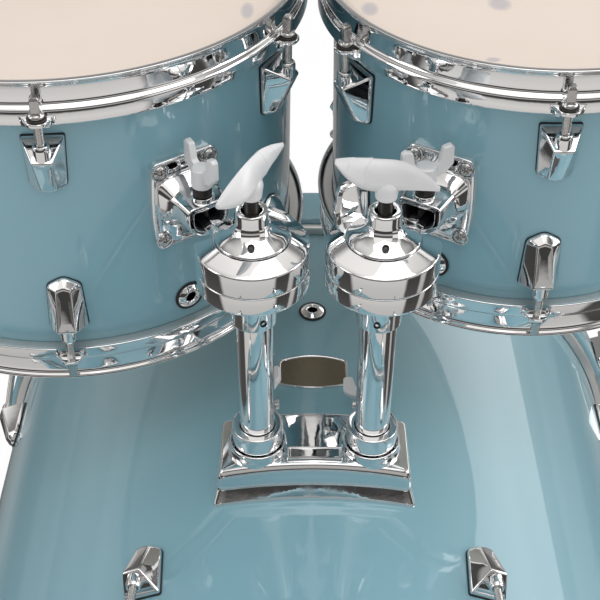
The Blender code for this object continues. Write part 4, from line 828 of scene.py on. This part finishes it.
def makeClamp(name, s):
    c, place = clamp, s["clamp"]
    body = name + "_pipe"
    bottom, foot, roof = -c["cup"], c["collarFoot"], c["pipeTop"] - holder["ballHeight"]
    hollow = c["pipe"] - c["pipeWall"]
    tube = turned([(c["pipe"], c["pipeTop"]), (c["pipe"], c["pipeFoot"]), (hollow, c["pipeFoot"]),
                   (hollow, c["pipeTop"])], 0.0005, 96, closed=True)
    piece(name + "_pipe_tube", tube.at(s["pipe"]), "chrome", body, [name + "_pipe"])
    cup = turned([(0.0045, -0.0150), (0.0066, -0.0150), (c["well"], -0.0046), (c["well"], -0.0002),
                  (c["radius"], -0.0002), (c["radius"], bottom), (c["collar"] + 0.0006, bottom),
                  (c["collar"], bottom - 0.002), (c["collar"], foot), (c["pipeBore"], foot),
                  (c["pipeBore"], roof), (0.0045, roof)],
                 [0, 0.001, 0.001, 0.0004, 0.0007, 0.0019, 0.0006, 0.001, 0.0009, 0.0004, 0.0003, 0], 128)
    piece(name + "_cup", cup.at(place), "chrome", body, [name + "_clamp_cup"],
          cutters=[wedge(-c["notch"], 0.01).at(place)])
    ring = turned([(c["radius"], c["ring"]), (c["radius"], 0.0002), (c["bore"], 0.0002), (c["bore"], 0.0176),
                   (c["flange"] + 0.0006, c["ring"] + c["cone"]), (c["radius"] - 0.0015, c["ring"] + 0.0008)],
                  [0.0010, 0.0006, 0.0004, 0.0004, 0.0004, 0.0012], 128, closed=True)
    piece(name + "_ring", ring.at(place), "chrome", body, [name + "_clamp_ring"],
          cutters=[wedge(-0.01, 0.08).at(place)])
    piece(name + "_hood", hoodForm(s["side"], s["hoodRise"]).at(place), "chrome", body)
    # The cap: its flange, a hollow bell curve, the neck, and back down inside
    bell = turned([(c["flange"], c["seat"]), (c["flange"], c["seat"] + 0.0012), (0.0196, 0.0208),
                   (0.0150, 0.0232), (0.0112, 0.0262), (c["neck"] + 0.0003, 0.0292), (c["neck"], c["top"]),
                   (0.0062, c["top"]), (0.0056, 0.0362), (c["thread"], 0.0300), (c["thread"], 0.0192),
                   (0.0120, 0.0096), (0.0187, 0.0096), (0.0187, c["seat"])],
                  [0.0004, 0.0006, 0.0022, 0.0030, 0.0028, 0.0020, 0.0012, 0.0006, 0.0004, 0.0004, 0.0004,
                   0.0004, 0.0005, 0.0004], 128, closed=True, steps=5)
    piece(name + "_bell_cap", bell.at(place), "chrome", body, [name + "_clamp_cap"])

    # Small dark screws: one at the bell's foot, one through the collar, one under the cup
    facing = -pi / 2 + s["side"] * s["azimuth"]
    screw = turned([(0.0004, 0.0002), (0.0012, 0.0002), (0.0016, 0.0012), (0.0021, 0.0012), (0.0021, -0.003),
                    (0.0004, -0.003)], [0, 0.0002, 0.0002, 0.0003, 0.0003, 0], 24)
    atBell = turn(facing, "Z") @ shift(0.0163, 0, 0.0232) @ turn(radians(36), "Y")
    collarTurn = facing + radians(25 if s["side"] < 0 else -8)
    atCollar = turn(collarTurn, "Z") @ shift(c["collar"] - 0.0004, 0, -0.036) @ turn(pi / 2, "Y")
    atCup = turn(facing - s["side"] * radians(48), "Z") @ shift(0.0245, 0, bottom - 0.0012) @ turn(pi, "X")
    places = [place @ p for p in (atBell, atCollar, atCup)]
    piece(name + "_clamp_screws", screw.at(*places), "oxide", body)


handle = {"length": 0.0575, "width": 0.0042, "height": 0.0088, "lift": 0.0302, "middle": 0.0146,
          "ridge": 0.09, "slant": 0.0042, "thread": 0.0042, "start": 0.0158}


def bladeForm():
    # Stations t from -1 to 1 along X. The half width is w (1 - |t|^2.6) + tip and the half height
    # h (1 - |t|^2.4) + tip. Up a section, s from -1 to 1, the half width falls from a crease at
    # s = -0.3 by 0.35 u + 0.65 u^3 upwards and 0.7 v^2 downwards, and sqrt(1 - s^6) rounds both ends.
    # Two curved ridges overlap like shells near one tip: there the width and height grow with the
    # fraction of (t + 1.07 - 0.12 s^2) / 0.33. The blade is swept and twisted like a propeller, and one
    # end lies higher than the other by 2 * slant
    t = np.sin(np.linspace(-pi / 2, pi / 2, 241))[:, None]
    angle = (np.arange(96) * 2 * pi / 96)[None]
    s = np.sin(angle)
    rise, fall = np.clip((s + 0.3) / 1.3, 0, 1), np.clip((-0.3 - s) / 0.7, 0, 1)
    section = (1 - 0.35 * rise - 0.65 * rise ** 3 - 0.7 * fall ** 2) * np.sqrt(1 - np.minimum(s ** 6, 1))
    ridge = (t + 1.07 - 0.12 * s ** 2) / 0.33
    step = np.where((ridge > 0) & (ridge < 2), ridge % 1.0, 0.0) * (1 - t ** 4)
    width = handle["width"] * (1 - np.abs(t) ** 2.6) + 0.0013
    tall = handle["height"] * (1 - np.abs(t) ** 2.4) + 0.0016
    y = width * section * np.sign(np.cos(angle)) * (1 + handle["ridge"] * step)
    z = tall * s * (1 + 0.5 * handle["ridge"] * step * np.clip(s, 0, 1))
    twist = 0.35 * t
    sweep = 0.0025 * np.sin(pi * t)
    x = handle["length"] / 2 * t + 0 * angle
    points = np.stack([x, y * np.cos(twist) - z * np.sin(twist) + sweep,
                       y * np.sin(twist) + z * np.cos(twist) - handle["slant"] * t * np.abs(t)], 2)
    return skinned(points)


def makeHandle(name, s):
    place = s["clamp"] @ shift(0, 0, handle["start"]) @ turn(s["handleTurn"] + s["side"] * s["azimuth"], "Z")
    hub = handle["lift"]
    boss = turned([(0.002, hub), (0.0060, hub), (0.0064, hub + 0.004), (0.0072, hub + 0.009),
                   (0.004, hub + 0.014)], [0, 0.0008, 0.003, 0.002, 0], 64)
    forms = [boss, bladeForm().at(shift(0, 0, hub + handle["middle"]))]
    piece(name + "_wing_handle", [f.at(place) for f in forms], "cast", name + "_handle",
          [name + "_handle"], angle=30)
    screw = threaded(handle["thread"], 0.0, hub + 0.001, 0.00125, 0.0005, 20)
    piece(name + "_handle_thread", screw.at(place), "oxide", name + "_handle")


bracket = {"width": 0.047, "height": 0.063, "bulge": 0.0022, "plate": 0.0035, "raise": 0.0018, "boss": 0.0205,
           "bossDepth": 0.0090, "mouth": 0.030, "tubeWidth": 0.028, "wall": 0.0036, "headroom": 0.0045,
           "pad": 0.003, "padRadius": 0.0072, "hex": 0.0105, "boltReach": 0.0225, "screwInset": 0.0066,
           "screwHead": 0.0045, "screwDome": 0.0032}


def makeBracket(name, boltTurn):
    tom, place, b = toms[name], toms[name]["place"], bracket
    radius, socketZ = tom["radius"], tom["socketZ"]
    upright = place @ axes((0, 0, socketZ), (0, 1, 0), (0, 0, 1), (1, 0, 0))
    raised = upright @ shift(0, b["raise"], 0)
    face, w, h = radius + nudge + b["plate"], b["width"] / 2, b["height"] / 2
    g, back = b["bulge"], radius - 0.003
    t = np.linspace(-1, 1, 9)
    right = [(w - g * v * v, h * v) for v in t]
    corners = [0.004] + [0.001] * 7 + [0.004]
    outline = eased(right + [(-x, -y) for x, y in right], corners * 2, 4)
    plate = lifted(outline, [back, face - 0.0008, face, face, face - 0.0007, face - 0.0007],
                   [0, 0, 0.0011, 0.0019, 0.0026, 0.006], [0, 0.0007, 0.0005, 0.0003, 0.0003, 0], 3)
    # Lowest and highest side of the tube round the hexagonal rod
    low, high = -b["hex"] / 2 - nudge - b["wall"], b["hex"] / 2 + b["headroom"] + b["wall"]
    middle, tall = (low + high) / 2, high - low
    mouth = radius + b["mouth"]
    arc = np.linspace(pi, 2 * pi, 19)
    shape = np.array([(0.5, 0.5), (-0.5, 0.5)] + [(0.5 * cos(a), 0.05 + 0.55 * sin(a)) for a in arc])

    def ring(width, height, z, corner):
        flat = eased(shape * (width, height), [corner] * 2 + [0.0006] * 19, 4)
        return np.column_stack([flat[:, 0], flat[:, 1] + middle, np.full(len(flat), z)])

    # The tube: flat on top and round below, wide at the plate and drawn in to the mouth, then back
    # down inside
    outer, gap, root = b["tubeWidth"], 2 * b["wall"], 2 * b["boss"]
    inside, insideTall = outer - gap, tall - gap
    rows = [ring(root, root, back, 0.012), ring(root, root * 0.97, face + 0.0012, 0.012),
            ring(outer * 1.14, tall * 1.22, face + b["bossDepth"], 0.006), ring(outer, tall, mouth, 0.004),
            ring(inside, insideTall, mouth, 0.002),
            ring(inside - 0.001, insideTall - 0.001, face + 0.0015, 0.002)]
    tube = skinned(eased(rows, [0, 0.0012, 0.0060, 0.0009, 0.0006, 0], 4, closed=False))
    pad = rounds(b["padRadius"], high - 0.002, high + b["pad"], 0.0006)
    atPad = place @ shift(radius + b["boltReach"], 0, socketZ)
    x, y = w - b["screwInset"], h - b["screwInset"]
    spots = {"upper_left": (-x, y), "upper_right": (x, y), "lower_left": (-x, -y), "lower_right": (x, -y)}
    pocket = rounds(b["screwHead"] + 0.0014, face - 0.0012, face + 0.0004, 0.0003, 40,
                    hole=b["screwHead"] + 0.0004)
    pockets = pocket.at(*[raised @ shift(*spot, 0) for spot in spots.values()])
    piece(name + "_bracket_casting", [plate.at(raised), tube.at(upright), pad.at(atPad), pockets],
          "chrome", name, [name + "_bracket"], angle=26)
    # A black resin lining in the tube's mouth: a dark sheet standing in for the shade inside the mouth
    shadeLining = skinned([ring(inside + less, insideTall + less, z, 0.002) for less, z in
                      ((0.0002, mouth - 0.0016), (-0.0016, mouth - 0.0020), (-0.0016, face + 0.0024),
                       (0.0002, face + 0.0020))], closed=True)
    piece(name + "_socket_lining", shadeLining.at(upright), "resin", name)

    # Crosshead screws: a domed head with a recess whose radius is 0.7 mm, and at four angles 2.2 mm
    angles = np.arange(48) * 2 * pi / 48
    arm = 0.0007 + 0.0015 * np.clip(np.cos(2 * angles) ** 2 * 2 - 1, 0, 1) ** 0.5
    cross = np.stack([np.cos(angles) * arm, np.sin(angles) * arm], 1)
    circle = np.stack([np.cos(angles), np.sin(angles)], 1)
    rim, dome = b["screwHead"], b["screwDome"]
    levels = [(circle * rim, 0.0), (circle * rim, 0.0009), (circle * dome, 0.0022), (cross, 0.0022),
              (cross * 0.72, 0.0009)]
    rows = [np.column_stack([flat, np.full(48, z)]) for flat, z in levels]
    headForm = skinned(eased(rows, [0, 0.0003, 0.0007, 0.0001, 0], 3, closed=False))
    for spotName, spot in spots.items():
        piece("%s_%s_crosshead" % (name, spotName), headForm.at(raised @ shift(*spot, face - 0.0006)),
              "steel", name, ["%s_%s_screw" % (name, spotName)])

    tip = b["hex"] / 2 + nudge
    atBolt = place @ shift(radius + b["boltReach"], 0, socketZ + tip) @ turn(boltTurn, "Z")
    makeWingBolt(name + "_bracket_wing", atBolt, high + b["pad"] - tip, 0.006, name + "_bracket_bolt",
                 name + "_bracket_bolt")


def makeBallAndRod(name, s):
    along = s["ball"] @ axes((0, 0, 0), (0, 0, -1), (0, 1, 0), (1, 0, 0))
    latitudes = np.linspace(-1.5, 1.5, 48)
    profile = holder["ball"] * np.stack([np.cos(latitudes), np.sin(latitudes)], 1)
    piece(name + "_clamp_ball", turned(profile, 0.0001, 64, steps=1).at(along), "resin", name + "_ball",
          [name + "_ball"])
    hexagon = polygon(bracket["hex"] / sqrt(3), 6, 0.0009, pi / 2)
    far = holder["rodReach"] - 0.004 - bracket["plate"]
    piece(name + "_hexagon_rod", slab(hexagon, 0.004, far, 0.0006).at(along), "chrome", name + "_hex_rod",
          [name + "_hex_rod"])


makeBase()
for sideName, s in sides.items():
    makeMemoryClamp(sideName, s["pipe"])
    makeClamp(sideName, s)
    makeHandle(sideName, s)
    makeBallAndRod(sideName, s)
    makeBracket(s["tom"], s["bracketTurn"])
    atBoss = s["pipe"] @ shift(0, clamp["pipe"] + nudge, base["boltHeight"]) @ turn(-pi / 2, "X")
    makeWingBolt(sideName + "_pipe_wing", atBoss @ turn(s["boltTurn"], "Z"),
                 base["bossBack"] - clamp["pipe"] - nudge, 0.008, sideName + "_pipe_bolt",
                 sideName + "_pipe_bolt")
print("tom holder made")


# Name plate, left bare
badge = {"width": 0.050, "height": 0.034, "thickness": 0.0018, "setback": 0.092, "rim": 0.0017}


def makeBadge():
    # An outline with bowed long sides, wrapped on the drum: u runs round it, v along it
    w, h = badge["width"] / 2, badge["height"] / 2
    t = np.linspace(1, -1, 17)
    top = np.stack([w * t, h - h * 0.28 * t * t], 1)
    corners = [0.002] + [0.0004] * 15 + [0.002]
    outline = eased(np.concatenate([top, -top]), corners * 2, 3)
    at = bass["depth"] / 2 - holder["setback"] + badge["setback"]

    def wrapped(form):
        u, v, lift = form.points.T
        radius, angle = bass["radius"] + lift, u / bass["radius"]
        form.points = np.stack([radius * np.sin(angle), -radius * np.cos(angle), at + v], 1)
        return form.at(bassPlace)

    high, rim = badge["thickness"], badge["rim"]
    frameForm = lifted(outline, [0.0001, high, high, high * 0.6, 0.0004], [0, 0, rim * 0.7, rim, rim * 1.05],
                       [0, 0.0005, 0.0004, 0.0002, 0], 3)
    piece("bass_badge_rim", wrapped(frameForm), "chrome", "bass_drum", ["bass_badge"])
    panel = lifted(outline, [0.0002, high * 0.62, high * 0.62], [rim * 0.9, rim * 0.95, rim * 2],
                   [0, 0.0002, 0])
    piece("bass_badge_plate", wrapped(panel), "bronze", "bass_drum")


makeBadge()

# Folding spurs
spur = {"facetsFromTop": 17, "inset": 0.085, "splay": radians(22), "pivot": 0.024, "leg": 0.008,
        "shoulder": 0.0088, "eye": 0.0115, "eyeWidth": 0.017, "cheek": 0.005,
        "plateLength": 0.052, "plateWidth": 0.044, "plateRise": 0.006,
        "pin": 0.004, "foot": 0.013, "footLength": 0.036, "spike": 0.004, "spikeLength": 0.012,
        "travel": 0.006, "screw": 0.0036, "screwAcross": 0.020, "screwAlong": 0.0165}


def makeSpur(name, side):
    sp = spur
    angle = sp["facetsFromTop"] * 2 * pi / bass["facets"]
    outward, rear = np.array([side * sin(angle), 0, cos(angle)]), np.array([0, 1.0, 0])
    frontY = bass["centreY"] - bass["depth"] / 2 + sp["inset"]
    pivot = np.array([0, frontY, bass["axisHeight"]]) + outward * (bass["flat"] + sp["pivot"])
    hinge = axes(pivot, outward, rear, np.cross(outward, rear))
    flat = axes((0, 0, 0), (0, 1, 0), (0, 0, 1), (1, 0, 0))
    roof = sp["plateRise"] - sp["pivot"]
    plate = lifted(rectangle(sp["plateLength"], sp["plateWidth"], 0.009, 6),
                   [-sp["pivot"] - 0.0035, roof - 0.003, roof, roof], [0, 0, 0.003, 0.008],
                   [0, 0.0016, 0.002, 0])
    arc = np.linspace(-pi / 2, pi / 2, 17)
    eye = np.stack([sp["eye"] * np.cos(arc), sp["eye"] * np.sin(arc)], 1)
    outline = np.concatenate([[(-sp["pivot"] + 0.001, -0.0160)], eye, [(-sp["pivot"] + 0.001, 0.0160)]])
    at = sp["eyeWidth"] / 2 + nudge
    forms = [plate.at(flat)]
    forms += [slab(outline, z, z + sp["cheek"], 0.0008) for z in (at, -at - sp["cheek"])]
    heads = rounds(sp["screw"], 0, 0.0014, 0.0004)
    forms.append(heads.at(*[flat @ shift(x * sp["screwAcross"], y * sp["screwAlong"], roof - 0.0002)
                            for x in (-1, 1) for y in (-1, 1)]))
    piece(name + "_spur_casting", [f.at(hinge) for f in forms], "chrome", "bass_drum",
          [name + "_spur_bracket"], angle=28)

    reach = pivot[2] / (-outward[2] * cos(sp["splay"]))
    footTop = reach - sp["footLength"]
    shoulder = footTop - sp["travel"] - nudge
    down = hinge @ turn(-sp["splay"], "Z") @ turn(pi / 2, "Y")
    thick, halfEye = sp["shoulder"], sp["eyeWidth"] / 2
    leg = [turned([(0.0055, 0.004), (thick, 0.004), (thick, 0.030), (sp["leg"], 0.034),
                   (sp["leg"], shoulder - 0.012), (thick, shoulder - 0.009), (thick, shoulder),
                   (0.003, shoulder)], [0, 0.001, 0.0015, 0.0015, 0.001, 0.001, 0.0008, 0], 64).at(down),
           rounds(sp["eye"], -halfEye, halfEye, 0.0008, 64, hole=sp["pin"] + 0.0005).at(hinge),
           threaded(sp["spike"], shoulder - 0.002, footTop + sp["spikeLength"], 0.00125, 0.0004, 24).at(down)]
    piece(name + "_spur_tube", leg, "chrome", name + "_spur_leg", [name + "_spur_leg"])
    ribs = [(sp["foot"] - 0.0005 * (i % 2), footTop + 0.011 + 0.0022 * i) for i in range(8)]
    foot = turned([(sp["spike"] + 0.0006, footTop), (sp["foot"] * 0.8, footTop)] + ribs
                  + [(sp["foot"], reach + 0.006), (0.004, reach + 0.012)],
                  [0, 0.0015] + [0.0004] * 8 + [0.003, 0], 64)
    # The floor is cut out of the foot, all but the foot's outermost edge
    ground = lifted(rectangle(0.2, 0.2, 0.001), [-0.1, 0.0], [0, 0], 0)
    ground = ground.at(shift(pivot[0] + side * 0.05, pivot[1] - 0.08, 0))
    piece(name + "_spur_rubber_foot", foot.at(down), "rubber", name + "_spur_foot",
          [name + "_spur_foot"], cutters=[ground])
    half = at + sp["cheek"]
    makeWingBolt(name + "_spur_wing", hinge @ shift(0, 0, -half), 2 * half, 0.0015, name + "_spur_bolt",
                 name + "_spur_bolt")


for sideName, s in sides.items():
    makeSpur(sideName, s["side"])
print("spurs made")

# Floor, light and camera
stageLook = {"floor": (0.86, 0.86, 0.855), "size": 6.0, "drop": 0.0005, "cameraWhite": 0.9,
             "daylight": 0.75, "skyRise": 0.16, "skyBlue": 1.015}


def makeStage():
    # A pale floor that the camera sees nearly white; the metal sees the studio below instead
    paint = Finish("pale_floor", stageLook["floor"], 0.6)
    white = paint.node("ShaderNodeEmission", None, {"Color": (1, 1, 1, 1), "Strength": 1.0})
    light = paint.node("ShaderNodeMixShader", None, {
        0: paint.node("ShaderNodeLightPath") * stageLook["cameraWhite"],
        1: paint.shader.outputs[0], 2: white})
    output = next(n for n in paint.tree.nodes if n.type == "OUTPUT_MATERIAL")
    paint.feed(output.inputs[0], light)
    size, low = stageLook["size"], -stageLook["drop"]
    corners = np.array([(-size, -size, low), (size, -size, low), (size, size, low), (-size, size, low)])
    floor = meshObject("floor", Form(corners, np.array([[0, 1, 2, 3]])), paint.made)
    floor.visible_glossy = False


def softBox(name, centre, target, width, height, power):
    data = bpy.data.lights.new(name, "AREA")
    data.shape, data.size, data.size_y, data.energy = "RECTANGLE", width, height, power
    lamp = bpy.data.objects.new(name, data)
    away = (Matrix.Translation(centre).translation - Matrix.Translation(target).translation)
    lamp.matrix_world = Matrix.Translation(centre) @ away.to_track_quat("Z", "Y").to_matrix().to_4x4()
    bpy.context.scene.collection.objects.link(lamp)


# What metal and lacquer see.
studio = {"front": [(0.0, 0.46), (0.18, 0.58), (0.28, 0.72), (0.33, 0.60), (0.345, 0.05), (0.52, 0.05),
                    (0.56, 0.46), (0.68, 0.42), (0.70, 0.07), (0.80, 0.09), (0.83, 0.98), (1.0, 1.0)],
          "flank": [(0.0, 0.12), (0.20, 0.06), (0.36, 0.05), (0.38, 0.62), (0.47, 0.70), (0.48, 0.05),
                    (0.60, 0.08), (0.62, 0.85), (0.80, 0.90), (0.82, 0.12), (1.0, 0.9)],
          "rear": [(0.0, 0.10), (0.14, 0.12), (0.24, 0.42), (0.30, 0.08), (0.44, 0.10), (0.54, 0.68),
                   (0.62, 0.62), (0.78, 0.20), (0.84, 0.26), (0.88, 0.95), (1.0, 1.0)],
          "toFlank": [(0.0, 0.0), (0.12, 0.1), (0.22, 1.0), (0.31, 1.0), (0.33, 0.0), (0.62, 0.0),
                      (0.635, 1.0), (0.71, 1.0), (0.72, 0.2), (0.75, 0.2), (0.76, 1.0), (0.80, 1.0),
                      (0.90, 0.1), (1.0, 0.0)],
          "toRear": [(0.0, 1.0), (0.24, 1.0), (0.26, 0.0), (0.74, 0.0), (0.76, 1.0), (1.0, 1.0)],
          "tint": (1.0, 0.968, 0.93)}

# Lamps: place, what they face, width, height, power
lamps = {"softBoxAbove": ((0.25, -0.5, 2.4), (0, -0.2, 0.6), 1.6, 1.2, 8),
         "softBoxLeft": ((-2.0, -0.8, 1.5), (0, -0.2, 0.5), 0.8, 1.6, 7),
         "softBoxRight": ((2.1, -0.3, 1.4), (0, -0.2, 0.5), 0.7, 1.6, 13),
         "softBoxRear": ((1.6, 1.1, 1.2), (0.15, -0.3, 0.55), 2.2, 1.2, 11)}


def makeLight():
    # The world is white for the camera and evenly pale for dull surfaces.
    bpy.context.scene.world = bpy.data.worlds.new("studio")
    world = Nodes(bpy.context.scene.world)
    x, y, z = world.parts(world.node("ShaderNodeTexCoord", output="Generated"))
    angle = world.node("ShaderNodeMath", {"operation": "ARCTAN2"}, {0: x, 1: y * -1.0})
    angle = angle * (0.5 / pi) + 0.5
    height = z * 0.5 + 0.5

    def ramp(along, way, tint):
        return world.ramp(along, [(at, tuple(level * c for c in tint)) for at, level in studio[way]])

    front, flank, rear = (ramp(height, way, studio["tint"]) for way in ("front", "flank", "rear"))
    toFlank, toRear = (ramp(angle, way, (1.0, 1.0, 1.0)) for way in ("toFlank", "toRear"))
    seen = world.blend(toFlank, world.blend(toRear, front, rear), flank)
    level = z * stageLook["skyRise"] + stageLook["daylight"]
    even = world.node("ShaderNodeCombineXYZ", None, {0: level, 1: level, 2: level * stageLook["skyBlue"]})
    rays = world.node("ShaderNodeLightPath").socket.node.outputs
    colour = world.blend(rays["Is Glossy Ray"], even, seen)
    world.feed(world.tree.nodes["Background"].inputs["Color"],
               world.blend(rays["Is Camera Ray"], colour, (1.0, 1.0, 1.0)))
    for name, lamp in lamps.items():
        softBox(name, *lamp)


# Fitted to the photograph: the place in the holder's frame, and its turns
view = {"place": (-0.0110, -0.5321, 0.6073), "yaw": radians(0.118), "pitch": radians(40.728),
        "roll": radians(0.252), "lens": 71.94}


def makeCamera():
    yaw, pitch, roll = view["yaw"], view["pitch"], view["roll"]
    right = np.array([cos(yaw), -sin(yaw), 0])
    ahead = np.array([sin(yaw) * cos(pitch), cos(yaw) * cos(pitch), -sin(pitch)])
    upward = np.cross(right, ahead)
    x, y = cos(roll) * right + sin(roll) * upward, cos(roll) * upward - sin(roll) * right
    data = bpy.data.cameras.new("camera")
    data.lens, data.sensor_width, data.clip_start, data.clip_end = view["lens"], 36.0, 0.02, 50
    camera = bpy.data.objects.new("camera", data)
    camera.matrix_world = Matrix(axes((holderPlace @ (*view["place"], 1))[:3], x, y, -ahead).tolist())
    bpy.context.scene.collection.objects.link(camera)
    bpy.context.scene.camera = camera


makeStage()
makeLight()
makeCamera()
bpy.context.scene.view_settings.view_transform = "Standard"
print("stage made")
